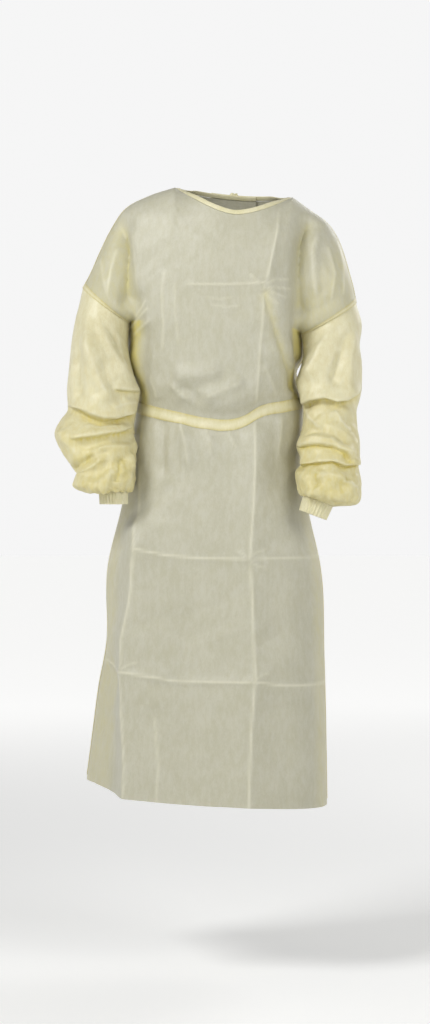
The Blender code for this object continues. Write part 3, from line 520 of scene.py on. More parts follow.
def read_curve(rows, at):
    """Smooth curves through a table's rows; the first column is the place along them."""
    table = np.array(sorted(rows), float)
    key, values = table[:, 0], table[:, 1:]
    slopes = np.gradient(values, key, axis=0)
    at = np.clip(np.asarray(at, float), key[0], key[-1])
    cell = np.clip(np.searchsorted(key, at, side="right") - 1, 0, len(key) - 2)
    span = (key[cell + 1] - key[cell])[..., None]
    t = (at - key[cell])[..., None] / span
    return ((2 * t ** 3 - 3 * t ** 2 + 1) * values[cell] + (t ** 3 - 2 * t ** 2 + t) * span * slopes[cell]
            + (3 * t ** 2 - 2 * t ** 3) * values[cell + 1] + (t ** 3 - t ** 2) * span * slopes[cell + 1])


def ease(value):
    value = np.clip(value, 0.0, 1.0)
    return value * value * (3 - 2 * value)


def unit(vectors):
    return vectors / np.maximum(np.linalg.norm(vectors, axis=-1, keepdims=True), 1e-12)


def columns_across():
    """Places across the gown: -1 at its right side line, +1 at its left."""
    neck = np.linspace(-NECK_U, NECK_U, NECK_CELLS + 1)
    shoulder = np.linspace(NECK_U, 1.0, SHOULDER_CELLS + 1)[1:]
    return np.concatenate((-shoulder[::-1], neck, shoulder))


def row_height(face, u, height):
    """A row's real height: it follows the hem, the belt and the armpit where it is near them."""
    belt = read_curve(BELT_FRONT if face == FRONT else BELT_BACK, u)[..., 0]
    hem = read_curve(HEM_FRONT if face == FRONT else HEM_BACK, u)[..., 0]
    armpit = read_curve(ARMPIT_HEIGHT, u)[..., 0]
    to_hem = np.clip((BELT_Z - height) / (BELT_Z - HEM_Z), 0, 1) ** 2
    to_armpit = np.clip((height - BELT_Z) / (ARMPIT_Z - BELT_Z), 0, 1) ** 2
    near_belt = np.exp(-((height - BELT_Z) / BELT_REACH) ** 2) * (1 - to_hem) * (1 - to_armpit)
    return (height + near_belt * (belt - BELT_Z) + to_hem * (hem - HEM_Z)
            + to_armpit * (armpit - ARMPIT_Z))


def skirt_points(face, u, heights):
    """The body from the hem to the armpits: rounded sections, one row for each height."""
    size = dict(zip(SECTION_COLUMNS[1:], read_curve(SECTIONS, heights).T[..., None]))
    angle = np.abs(u) * math.pi / 2
    side_x = np.where(u < 0, -size["right"], size["left"])
    side_y = np.where(u < 0, size["right_y"], size["left_y"])
    middle_y = face * size["front" if face == FRONT else "back"]
    x = side_x * np.sin(angle) ** SECTION_POWER
    y = side_y + (middle_y - side_y) * np.cos(angle) ** SECTION_POWER
    z = row_height(face, u[None, :], np.asarray(heights)[:, None])
    return np.stack(np.broadcast_arrays(x, y, z), axis=-1)


def top_points(face, u):
    """The panel's top edge: the neck edge in the middle, the shoulder line on each side."""
    q = np.clip(u / NECK_U, -1, 1)
    side_z = (NECK_SIDE[RIGHT] * (1 - q) + NECK_SIDE[LEFT] * (1 + q)) / 2
    round_off = (1 - np.abs(q) ** NECK_ROUND_POWERS[0]) ** NECK_ROUND_POWERS[1]
    top = np.stack((NECK_X + NECK_HALF * q, face * NECK_DEPTH[face] * round_off,
                    side_z - NECK_DROP[face] * (1 - np.abs(q) ** NECK_DIP_POWER)), axis=-1)
    for side in (RIGHT, LEFT):
        line = np.array(SHOULDER[side])
        along = np.concatenate(([0], np.cumsum(np.linalg.norm(np.diff(line, axis=0), axis=1))))
        out = side * u > NECK_U
        share = (side * u[out] - NECK_U) / (1 - NECK_U)
        places = read_curve(np.column_stack((along, line)).tolist(), share * along[-1])
        top[out] = np.stack((places[:, 0], 0 * share, places[:, 1]), axis=-1)
    return top


def arch_points(face, foot, top, depth, droop, turn):
    """Half an armhole or sleeve ring, from its inner side round the face to its outer side."""
    rise = (1 - np.cos(turn)) / 2
    bulge = np.stack((0 * turn, face * depth * np.sin(turn), -droop * np.sin(turn)), axis=-1)
    return foot + (top - foot) * rise[..., None] + bulge


def even_rows(dense, cells):
    """Each column cut into equal lengths."""
    steps = np.linalg.norm(np.diff(dense, axis=0), axis=-1)
    along = np.vstack((np.zeros(steps.shape[1]), np.cumsum(steps, axis=0)))
    rows = np.empty((cells + 1, dense.shape[1], 3))
    for column in range(dense.shape[1]):
        wanted = np.linspace(0, along[-1, column], cells + 1)
        for axis in range(3):
            rows[:, column, axis] = np.interp(wanted, along[:, column], dense[:, column, axis])
    return rows


def yoke_points(face, u, foot, cells):
    """The body above the armpits: chest columns that become half armholes at the sides."""
    top = top_points(face, u)
    share = np.linspace(0, 1, YOKE_SAMPLES)[:, None]
    q = np.clip(np.abs(u) / NECK_U, 0, 1)
    lean = np.radians(NECK_LEAN[face] + (90 - NECK_LEAN[face]) * q ** NECK_LEAN_POWER)
    turn = share * lean
    up = np.sin(turn) ** YOKE_POWER / np.sin(lean) ** YOKE_POWER
    over = (1 - np.cos(turn) ** YOKE_POWER) / (1 - np.cos(lean) ** YOKE_POWER)
    chest = foot + (top - foot) * np.stack((up ** NECK_PULL_POWER, over, up), axis=-1)
    arm = arch_points(face, foot, top, ARMHOLE_DEPTH, ARMHOLE_DROOP, share * math.pi + 0 * u)
    to_arm = ease((np.abs(u) - ARM_FROM_U) / (1 - ARM_FROM_U))[None, :, None]
    return even_rows(chest * (1 - to_arm) + arm * to_arm, cells)


def fold_effects(folds, points):
    """What the folds of one face do to each point, as four layers.

    They are how far it is lifted, how far rolled cloth sags, how much painted shade a valley gets,
    where the cloth also lies doubled, and how much painted highlight a crest gets.
    """
    lift, sag, double_and_painted_light, painted_highlight = (np.zeros(points.shape[:-1]) for _ in range(4))
    flat = points[..., [0, 2]]
    for form, *sizes in folds:
        height, wide, *path = np.array(sizes) / MM_PER_M
        path = np.reshape(path, (-1, 2))
        near = np.full(lift.shape, np.inf)
        place, side = np.zeros(lift.shape), np.zeros(lift.shape)
        for number, (start, end) in enumerate(zip(path[:-1], path[1:])):
            run = end - start
            t = np.clip(((flat - start) @ run) / (run @ run), 0, 1)
            off = flat - start - t[..., None] * run
            away = np.linalg.norm(off, axis=-1)
            closer = away < near
            place = np.where(closer, (number + t) / (len(path) - 1), place)
            side = np.where(closer, run[0] * off[..., 1] - run[1] * off[..., 0], side)
            near = np.minimum(near, away)
        ends = END_SHARE[form]
        taper = ends + (1 - ends) * ease(np.minimum(place, 1 - place) / FOLD_TAPER[form])
        scale = height * taper
        sharp = np.sqrt(near ** 2 + CREASE_ROUND ** 2) - CREASE_ROUND
        crest = taper * np.exp(-(near / HIGHLIGHT_WIDTH) ** 2)
        if form == "crease":
            lift += scale * np.exp(-sharp / wide)
            if height > 0:
                # painted highlight: a pale line along the crest of a raised crease
                painted_highlight = np.maximum(painted_highlight, crest * min(1, height / HIGHLIGHT_FULL_HEIGHT))
            else:
                # painted shade along a sunken crease's valley
                double_and_painted_light = np.maximum(double_and_painted_light, VALLEY_PAINTED_SHADE * taper * np.exp(-near / wide))
        elif form == "tent":
            slope = 1 - sharp / wide
            lift += scale * (slope + np.sqrt(slope ** 2 + TENT_ROUND)) / 2
            if height > 0 and wide < NARROW_TENT:
                # painted highlight along the crest of a narrow tent
                painted_highlight = np.maximum(painted_highlight, HIGHLIGHT_ON_TENT * crest)
        elif form == "tuck":
            over = 1 / (1 + np.exp(np.clip(-np.sign(side) * near / TUCK_EDGE, -40, 40)))
            roll = over * np.exp(-(near / wide) ** 2)
            valley = (1 - over) * np.exp(-(near / wide * TUCK_STEEP) ** 2)
            lift += scale * (roll - TUCK_UNDER * valley)
            sag += scale * TUCK_DROOP * roll
            # painted shade in the valley under the roll, where the cloth also lies doubled
            double_and_painted_light = np.maximum(double_and_painted_light, taper * valley)
            # painted highlight just behind the tuck's edge, where the rolled cloth catches the light
            behind_edge = np.exp(-((near - TUCK_CREST) / TUCK_CREST) ** 2)
            painted_highlight = np.maximum(painted_highlight, HIGHLIGHT_ON_TUCK * taper * over * behind_edge)
        else:
            lift += scale * np.exp(-(near / wide) ** 2)
    return np.stack((lift, sag, double_and_painted_light, painted_highlight))


def crumple(points, kind):
    """Flat facets with crisp edges that cover the cloth, the same each time."""
    noise.seed_set(CRUMPLE_SEED)
    flat = points.reshape(-1, 3)
    lift = np.zeros(len(flat))
    for number, (size, height) in enumerate(CRUMPLE[kind]):
        shift = np.array(CRUMPLE_SHIFT) * (number + 1)
        bend, fade = (np.array([noise.noise_vector(Vector(place)) for place in places])
                      for places in (flat / (BEND_SIZE * size) + shift, flat / (FADE_SIZE * size) - shift))
        for turn, heading in enumerate(CRUMPLE_HEADINGS):
            phase = flat @ np.array(heading) / size + BEND * bend[:, turn]
            edges = np.abs(2 * (phase % 1) - 1) - 0.5
            lift += height * ease(FADE_FROM + FADE_RANGE * fade[:, turn]) * edges
    return lift.reshape(points.shape[:-1])


def grid_normals(grid, outward, wrap=False):
    """Normals of a grid, pointing to the side that outward names (+1 or -1)."""
    if wrap:
        padded = np.concatenate((grid[:, -1:], grid, grid[:, :1]), axis=1)
        along = padded[:, 2:] - padded[:, :-2]
    else:
        along = np.gradient(grid, axis=1)
    return unit(np.cross(along, np.gradient(grid, axis=0)) * outward)


def body_heights():
    """Nominal heights of the rows from the hem to the armpits, with the belt's own rows."""
    low, high = BELT_Z - BELT_WIDTH / 2, BELT_Z + BELT_WIDTH / 2
    return np.concatenate((np.linspace(HEM_Z, low, SKIRT_CELLS + 1),
                           np.linspace(low, high, BELT_CELLS + 1)[1:],
                           np.linspace(high, ARMPIT_Z, CHEST_CELLS + 1)[1:]))


def body_grid(face):
    """The outer points of the whole front or back, hem first, their normals and their tones."""
    u = columns_across()
    heights = body_heights()
    skirt = skirt_points(face, u, heights)
    yoke = yoke_points(face, u, skirt[-1], YOKE_CELLS)
    grid = np.concatenate((skirt, yoke[1:]))
    rows = np.arange(len(grid))[:, None]
    belt_row = SKIRT_CELLS + BELT_CELLS / 2
    fade = (ease((1 - np.abs(u)) / SIDE_FADE)[None, :]
            * ease((len(grid) - 1 - rows) / (TOP_FADE_SHARE * YOKE_CELLS)))
    from_belt = ease((np.abs(rows - belt_row) - BELT_CELLS / 2) / BELT_FADE_ROWS)
    lift, sag, double_and_painted_light, painted_highlight = fold_effects(BODY_FOLDS[face], grid) * fade
    # painted light: a brighter, yellower tone in the strips along the sides, which the sleeves shade; weaker
    # on the back
    start, reach = SIDE_PAINTED_LIGHT_FROM[face]
    on_chest = (rows > belt_row) & (rows < len(skirt))
    beside = np.where(on_chest, 1, SIDE_PAINTED_LIGHT_OFF_CHEST) * ease((np.abs(u) - start) / reach)
    # doubled cloth everywhere, painted light beside the arms and painted shade along the fold valleys
    double_and_painted_light = DOUBLED_BY["body"] + SIDE_PAINTED_LIGHT * beside + FOLD_PAINTED_SHADE["body"] * double_and_painted_light
    double_and_painted_light = np.clip(double_and_painted_light, 0, 1)
    lift = lift + crumple(grid, "body") * fade * from_belt
    grid = grid + grid_normals(grid, -face) * lift[..., None]
    grid[..., 2] -= sag
    return grid, grid_normals(grid, -face), np.stack((double_and_painted_light, painted_highlight), axis=-1)


def around(front_half, back_half):
    """A closed ring from two halves that share their ends."""
    return np.concatenate((front_half, back_half[-2:0:-1]))


def ring(row, turn):
    """One whole sleeve ring: front half from the inner side to the outer, then the back half."""
    size = dict(zip(RING_COLUMNS, row))
    inner = np.array((size["inner_x"], size["middle_y"], size["inner_z"]))
    outer = np.array((size["outer_x"], size["middle_y"], size["outer_z"]))
    return around(*(arch_points(face, inner, outer, size["depth"], 0, turn) for face in (FRONT, BACK)))


def sleeve_grid(side, armhole):
    """The sleeve's outer points from the armhole, which it shares with the body, to the wrist."""
    turn = np.linspace(0, math.pi, YOKE_CELLS + 1)
    table = [(number, *row) for number, row in enumerate(SLEEVE_RINGS[side])]
    places = np.linspace(0, len(table) - 1, SLEEVE_CELLS + 1)
    rings = np.stack([ring(row, turn) for row in read_curve(table, places)])
    slip = armhole - rings[0]
    rings = rings + np.interp(places, range(len(ARMHOLE_SHARE)), ARMHOLE_SHARE)[:, None, None] * slip
    in_front = np.arange(rings.shape[1]) <= YOKE_CELLS
    from_armhole = ease(places / SLEEVE_START_RINGS)[:, None]
    to_wrist = (places[-1] - places)[:, None] / places[-1]
    from_sides = ease(around(np.sin(turn), np.sin(turn)) / SLEEVE_FADE)
    fade = from_armhole * ease(to_wrist / WRIST_REACH) * from_sides
    lift, sag, double_and_painted_light, painted_highlight = fade * np.where(in_front, *(
        fold_effects(SLEEVE_FOLDS[side][face], rings) for face in (FRONT, BACK)))
    slope, start = DOUBLED_DOWN_SLEEVE
    # doubled cloth that grows down the sleeve, and painted shade along the fold valleys
    double_and_painted_light = DOUBLED_BY["sleeve"] * ease(slope * (1 - to_wrist) - start) + FOLD_PAINTED_SHADE["sleeve"] * double_and_painted_light
    double_and_painted_light = np.clip(double_and_painted_light, 0, 1)
    crumpled = CRUMPLE_AT_SIDES + (1 - CRUMPLE_AT_SIDES) * from_sides
    crumpled = crumpled * (CRUMPLE_AT_WRIST - to_wrist) * ease(to_wrist / SLEEVE_END_SHARE)
    lift = lift + crumple(rings, "sleeve") * from_armhole * crumpled
    angle = np.linspace(0, 2 * math.pi, rings.shape[1], endpoint=False)
    waves = np.sin(WRIST_WAVES * angle + WRIST_SWAY[0] * np.sin(WRIST_SWAY[1] * angle))
    waves = waves * (1 - WRIST_SWELL[0] + WRIST_SWELL[0] * np.sin(WRIST_SWELL[1] * angle + side))
    lift = lift + WRIST_RIPPLE * waves * np.exp(-(to_wrist / WRIST_GATHER) ** 2)
    rings = rings + grid_normals(rings, -side, wrap=True) * lift[..., None]
    rings[..., 2] -= sag
    return rings, np.stack((double_and_painted_light, painted_highlight), axis=-1)


def cuff_grid(side):
    """The cuff's outer points, top edge first, rippled by its elastic, and its axis."""
    turn = np.linspace(0, math.pi, YOKE_CELLS + 1)
    top, end = (ring(row, turn) for row in CUFF_RINGS[side])
    shares = np.linspace(CUFF_TUCK, 1, CUFF_CELLS - 1)
    shares = np.concatenate(((0, CUFF_TUCK / 2), shares))
    rows = np.stack([top + (end - top) * share for share in shares])
    normals = grid_normals(rows, -side, wrap=True)
    angle = np.linspace(0, 2 * math.pi, rows.shape[1], endpoint=False)
    sway = CUFF_SWAY[0] * np.sin(CUFF_SWAY[1] * angle + side)
    ripple = CUFF_RIPPLE * np.sin(CUFF_WAVES * angle + sway)
    return rows + normals * ripple[None, :, None], normals, unit(end - top)


def share_normals(first, second):
    """Two edges that meet lean the same way, unless they meet nearly back to back."""
    both = unit(first + second)
    agree = np.sum(first * second, axis=-1, keepdims=True) > MEET_ABOVE
    return np.where(agree, both, first), np.where(agree, both, second)


def pull_back(grid, index, axis, distance):
    """Move one edge of a grid towards its neighbours by a distance along the cloth."""
    grid = np.moveaxis(grid, axis, 0)
    inside = 1 if index == 0 else -2
    grid[index] += unit(grid[inside] - grid[index]) * distance


def tuck_in(back, normals):
    """The under back's points: the back's own, let in under the other back near the middle."""
    u = columns_across()
    over_edge = len(u) // 2 - LAP_CELLS
    lap = ease((u - u[SHOULDER_CELLS]) / (u[over_edge] - u[SHOULDER_CELLS]))[None, :, None]
    return back - normals * lap * LAP_STEP


# ---------------------------------------------------------------- meshes

def add_piece(name, vertices, faces, shader):
    """A mesh piece that rides on the gown."""
    mesh = bpy.data.meshes.new(name)
    mesh.from_pydata(vertices, [], faces)
    bm = bmesh.new()
    bm.from_mesh(mesh)
    bmesh.ops.recalc_face_normals(bm, faces=bm.faces)
    bm.to_mesh(mesh)
    bm.free()
    mesh.shade_smooth()
    mesh.set_sharp_from_angle(angle=math.radians(SMOOTH_UNDER))
    mesh.materials.append(shader)
    piece = bpy.data.objects.new(name, mesh)
    bpy.context.scene.collection.objects.link(piece)
    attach(piece, "root")
    return piece


def set_tones(piece, tones):
    """Keep the doubled tone, which holds painted light and shade, and the painted highlight along crests, on
    the piece's points.
    """
    for number, name in enumerate(("double_and_painted_light", "painted_highlight")):
        tone = piece.data.attributes.new(name, "FLOAT", "POINT")
        values = np.asarray(tones[..., number], float).ravel()
        tone.data.foreach_set("value", np.resize(values, len(piece.data.vertices)))


def grid_quads(index):
    """The corners of each cell in a grid of point numbers."""
    corners = (index[:-1, :-1], index[:-1, 1:], index[1:, 1:], index[1:, :-1])
    return np.stack(corners, axis=-1).reshape(-1, 4)


def add_wall(name, outer, inner, shader, wrap=False, tones=None):
    """A closed wall between two grids of the same size, with its rims and its tone."""
    rows, cols = outer.shape[:2]
    index = np.arange(rows * cols).reshape(rows, cols)
    if wrap:
        index = np.concatenate((index, index[:, :1]), axis=1)
    quads = grid_quads(index)
    faces = [quads, quads[:, ::-1] + rows * cols]
    for rim in [index[0], index[-1]] + ([] if wrap else [index[:, 0], index[:, -1]]):
        faces.append(grid_quads(np.stack((rim, rim + rows * cols))))
    vertices = np.concatenate((outer.reshape(-1, 3), inner.reshape(-1, 3)))
    piece = add_piece(name, vertices.tolist(), np.concatenate(faces).tolist(), shader)
    set_tones(piece, 0 * outer if tones is None else tones)
    return piece


def add_cloth(name, grid, normals, shader, wrap=False, tones=None):
    """A sheet of cloth, with its outer side on a grid."""
    return add_wall(name, grid, grid - normals * CLOTH_THICK, shader, wrap=wrap, tones=tones)


def add_bar(name, sections, shader, closed=False):
    """A solid bar through closed cross-sections, one row each, capped unless its ends meet."""
    rows, cols = sections.shape[:2]
    index = np.arange(rows * cols).reshape(rows, cols)
    index = np.concatenate((index, index[:, :1]), axis=1)
    if closed:
        index = np.concatenate((index, index[:1]), axis=0)
    faces = grid_quads(index).tolist()
    if not closed:
        faces += [index[0, :-1].tolist(), index[-1, :-1][::-1].tolist()]
    return add_piece(name, sections.reshape(-1, 3).tolist(), faces, shader)


def strip_sections(centre, across, out, width, thick):
    """Rounded flat cross-sections of a folded strip along a line."""
    angle = np.linspace(0, 2 * math.pi, STRIP_POINTS, endpoint=False)
    flat, deep = (np.sign(way) * np.abs(way) ** power * size / 2 for way, power, size in zip(
        (np.cos(angle), np.sin(angle)), STRIP_POWERS, (width, thick)))
    return centre[:, None] + across[:, None] * flat[None, :, None] + out[:, None] * deep[None, :, None]


# ---------------------------------------------------------------- materials

def linear(colour):
    """An sRGB hex colour as the linear values that a shader takes."""
    channels = [int(colour[i:i + 2], 16) / 255 for i in (1, 3, 5)]
    return (*(c / 12.92 if c <= 0.04045 else ((c + 0.055) / 1.055) ** 2.4 for c in channels), 1)


def per_metre(millimetres):
    """A texture's scale in object space for a feature of this size."""
    return MM_PER_M / millimetres


def set_inputs(node, values):
    """Give a node's inputs constant values."""
    for name, value in values.items():
        node.inputs[name].default_value = value


def add_node(tree, kind, values=None, links=None, **settings):
    """Add one node, with its settings, its inputs' values and its links."""
    made = tree.nodes.new(kind)
    for name, value in settings.items():
        setattr(made, name, value)
    set_inputs(made, values or {})
    for name, source in (links or {}).items():
        tree.links.new(source, made.inputs[name])
    return made


def new_material(name):
    """A new material, its node tree, its main shader node and its object coordinates."""
    material = bpy.data.materials.new(name)
    material.use_nodes = True
    tree = material.node_tree
    place = add_node(tree, "ShaderNodeTexCoord").outputs["Object"]
    return material, tree, tree.nodes["Principled BSDF"], place


def nonwoven(name, thin, thick, double_and_painted_light, roughness, see_through):
    """Spunbond polypropylene: continuous filaments laid at random and point-bonded by heat.

    The eye sees a soft cloudy web, a little darker where filaments lie thick, faint upright
    streaks from the laying, a dry sheen, a yellower tone where the cloth lies doubled, and light
    that comes through the sheet. The yellow tone also holds painted light in the shaded strips
    beside the arms and painted shade along the fold valleys, and a pale painted highlight runs
    along the crests.
    """
    material, tree, surface, place = new_material(name)
    laid = add_node(tree, "ShaderNodeMapping", {"Scale": LAYING_STRETCH}, {"Vector": place}).outputs[0]
    web, cloud, patch = (
        add_node(tree, "ShaderNodeTexNoise", {"Scale": per_metre(size), "Detail": detail, "Roughness": rough},
                 {"Vector": source}).outputs["Fac"]
        for (size, detail, rough), source in ((WEB_MM, laid), (CLOUD_MM, laid), (PATCH_MM, place)))
    bonds = add_node(tree, "ShaderNodeTexVoronoi", {"Scale": per_metre(BOND_MM), "Randomness": BOND_UNEVEN},
                     {"Vector": place}, feature="F1").outputs["Distance"]
    tone = add_node(tree, "ShaderNodeMath", {1: WEB_SHARE}, {0: web}, operation="MULTIPLY").outputs[0]
    for layer, part in ((cloud, CLOUD_SHARE), (patch, PATCH_SHARE)):
        tone = add_node(tree, "ShaderNodeMath", {1: part}, {0: layer, 2: tone},
                        operation="MULTIPLY_ADD").outputs[0]
    single = add_node(tree, "ShaderNodeValToRGB", links={"Fac": tone})
    for stop, position, colour in zip(single.color_ramp.elements, WEB_SPREAD, (thin, thick)):
        stop.position, stop.color = position, linear(colour)
    double_and_light_share, painted_highlight = (add_node(tree, "ShaderNodeAttribute", attribute_name=kept).outputs["Fac"]
                        for kept in ("double_and_painted_light", "painted_highlight"))
    double_and_light_share, painted_highlight = (
        add_node(tree, "ShaderNodeMath", {1: part}, {0: kept}, operation="MULTIPLY").outputs[0]
        for kept, part in ((double_and_light_share, DOUBLE_AND_LIGHT_STRENGTH), (painted_highlight, HIGHLIGHT_SHARE)))
    double_and_light_share = add_node(tree, "ShaderNodeMath", links={0: double_and_light_share, 1: cloud}, operation="MULTIPLY",
                       use_clamp=True).outputs[0]
    colour = single.outputs["Color"]
    # the doubled tone with its painted light and shade, then the painted highlight along the crests
    for share, second in ((double_and_light_share, double_and_painted_light), (painted_highlight, HIGHLIGHT_COLOUR)):
        colour = add_node(tree, "ShaderNodeMix", {"B": linear(second)}, {"Factor": share, "A": colour},
                          data_type="RGBA").outputs["Result"]
    height = add_node(tree, "ShaderNodeMath", {1: BOND_RELIEF}, {0: bonds, 2: tone},
                      operation="MULTIPLY_ADD").outputs[0]
    bump = add_node(tree, "ShaderNodeBump", dict(zip(("Strength", "Distance"), WEB_RELIEF)),
                    {"Height": height}).outputs["Normal"]
    tree.links.new(colour, surface.inputs["Base Color"])
    tree.links.new(bump, surface.inputs["Normal"])
    set_inputs(surface, {"Roughness": roughness, "IOR": 1.49, "Specular IOR Level": 0.50,
                         "Sheen Weight": 0.12, "Sheen Roughness": 0.5})
    glow = add_node(tree, "ShaderNodeBsdfTranslucent", links={"Color": colour, "Normal": bump})
    mix = add_node(tree, "ShaderNodeMixShader", {0: see_through}, {1: surface.outputs[0], 2: glow.outputs[0]})
    tree.links.new(mix.outputs[0], tree.nodes["Material Output"].inputs["Surface"])
    return material


def spun_thread(name, colour, roughness):
    """Spun polyester thread: two plies twisted together, which catch the light in short steps."""
    material, tree, surface, place = new_material(name)
    plies = add_node(tree, "ShaderNodeTexWave", {"Scale": per_metre(TWIST_MM) / 20, "Distortion": 1.5},
                     {"Vector": place}).outputs["Fac"]
    bump = add_node(tree, "ShaderNodeBump", dict(zip(("Strength", "Distance"), TWIST_RELIEF)),
                    {"Height": plies})
    tree.links.new(bump.outputs["Normal"], surface.inputs["Normal"])
    set_inputs(surface, {"Base Color": linear(colour), "Roughness": roughness, "Sheen Weight": 0.2})
    return material


def studio_floor(name, colour, roughness):
    """Matt white studio paint that also glows by itself, dim near the gown and brighter far off, so that it
    runs into the backdrop: painted light.
    """
    material, tree, surface, place = new_material(name)
    away = add_node(tree, "ShaderNodeVectorMath", links={0: place}, operation="LENGTH").outputs["Value"]
    glow = add_node(tree, "ShaderNodeMapRange", dict(zip(RANGE, FLOOR_REACH + FLOOR_GLOW)),
                    {"Value": away}, interpolation_type="SMOOTHSTEP").outputs["Result"]
    # painted light: the floor glows by itself, more the farther it lies from the gown
    tree.links.new(glow, surface.inputs["Emission Strength"])
    set_inputs(surface, {"Emission Color": linear(colour), "Base Color": linear(colour),
                         "Roughness": roughness, "Specular IOR Level": 0.1})
    return material


# ---------------------------------------------------------------- pieces

def lay_out(node):
    """Hide the solid that a piece of cloth stands for."""
    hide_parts(node)


def add_sleeve(side, body, normals, cloth, doubled_cloth):
    """One sleeve and its cuff, set into the armhole with an even seam."""
    name = "left" if side == LEFT else "right"
    edge, beside = (-1, -2) if side == LEFT else (0, 1)
    holes = [body[face][-YOKE_CELLS - 1:, edge] for face in (FRONT, BACK)]
    hole_normals = [normals[face][-YOKE_CELLS - 1:, edge] for face in (FRONT, BACK)]
    sleeve, tones = sleeve_grid(side, around(*holes))
    cuff, cuff_normals, cuff_axis = cuff_grid(side)
    sleeve[-1] = cuff[2] + cuff_normals[2] * SEAM
    sleeve_normals = grid_normals(sleeve, -side, wrap=True)
    sleeve_normals[-1] = cuff_axis

    half = YOKE_CELLS + 1
    down = unit(sleeve[1] - sleeve[0])
    for face, hole, hole_normal in zip((FRONT, BACK), holes, hole_normals):
        places = np.arange(half) if face == FRONT else -np.arange(half)
        inward = unit(body[face][-YOKE_CELLS - 1:, beside] - hole)
        parting = unit(inward - down[places]) * SEAM / 2
        hole_normal[:], sleeve_normals[0, places] = share_normals(hole_normal, sleeve_normals[0, places])
        sleeve[0, places] = hole - parting
        hole += parting
    sleeve_piece = add_cloth("gown_sleeve_" + name, sleeve, sleeve_normals, cloth,
                             wrap=True, tones=tones)
    lay_out("sleeve_" + name)
    cuff_piece = add_cloth("gown_cuff_" + name, cuff, cuff_normals, doubled_cloth, wrap=True)
    lay_out("cuff_" + name)


def add_neck_binding(body, normals, tucked, shader, thread):
    """The folded strip round the neck edge: over back, front, then under back."""
    first, last = SHOULDER_CELLS, SHOULDER_CELLS + NECK_CELLS
    middle = (first + last) // 2
    over = slice(middle - LAP_CELLS, last)
    front = slice(last, first - 1, -1)
    under = slice(first + 1, middle + LAP_CELLS + 1)
    edge = np.concatenate((body[BACK][-1, over], body[FRONT][-1, front], tucked[-1, under]))
    lean = np.concatenate((normals[BACK][-1, over], normals[FRONT][-1, front], normals[BACK][-1, under]))
    middle_line = edge - lean * CLOTH_THICK / 2
    rise = unit(np.cross(np.gradient(middle_line, axis=0), lean))
    for _ in range(BINDING_EASE):
        lean, rise = (unit(np.concatenate((way[:1], way[:-2] + 2 * way[1:-1] + way[2:], way[-1:])))
                      for way in (lean, rise))
    centre = middle_line + rise * (NECK_SEAM + BINDING_TALL / 2)
    sections = strip_sections(centre, rise, lean, BINDING_TALL, BINDING_THICK)
    binding = add_bar("gown_neck_binding", sections, shader)
    line = centre - rise * BINDING_TALL * BINDING_STITCH[0] + lean * BINDING_THICK * BINDING_STITCH[1]
    stitches = add_stitches("stitch_neck_binding", line, lean, thread)
    lay_out("neck_binding")


def along_line(points, steps):
    """A line cut into equal lengths."""
    reach = np.concatenate(([0], np.cumsum(np.linalg.norm(np.diff(points, axis=0), axis=-1))))
    wanted = np.linspace(0, reach[-1], steps)
    return np.stack([np.interp(wanted, reach, points[:, axis]) for axis in range(3)], axis=-1)


def add_knot(name, kind, shader):
    """A tied knot: the strip wound once through itself and pulled tight."""
    low, high = (np.array(corner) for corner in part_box(kind + "_knot"))
    turn = np.linspace(0, 2 * math.pi, KNOT_TURNS, endpoint=False)
    # a trefoil, drawn to the solid's own box
    path = np.stack((np.sin(turn) + 2 * np.sin(2 * turn), -np.sin(3 * turn),
                     np.cos(turn) - 2 * np.cos(2 * turn)), axis=-1)
    reach = (path.max(axis=0) - path.min(axis=0)) / 2
    path = path / reach * ((high - low) / 2 - np.array(KNOT_MARGIN) * KNOT_STRIP[kind])
    along = unit(np.roll(path, -1, axis=0) - np.roll(path, 1, axis=0))
    out = unit(path * np.array(KNOT_LEAN) + np.array(KNOT_LIFT))
    across = unit(np.cross(along, out))
    out = unit(np.cross(across, along))
    width = KNOT_STRIP[kind]
    sections = strip_sections(path + (low + high) / 2, across, out, width, width * KNOT_STRIP_FLAT)
    knot = add_bar(name, sections, shader, closed=True)
    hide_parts(kind + "_knot")
    return knot


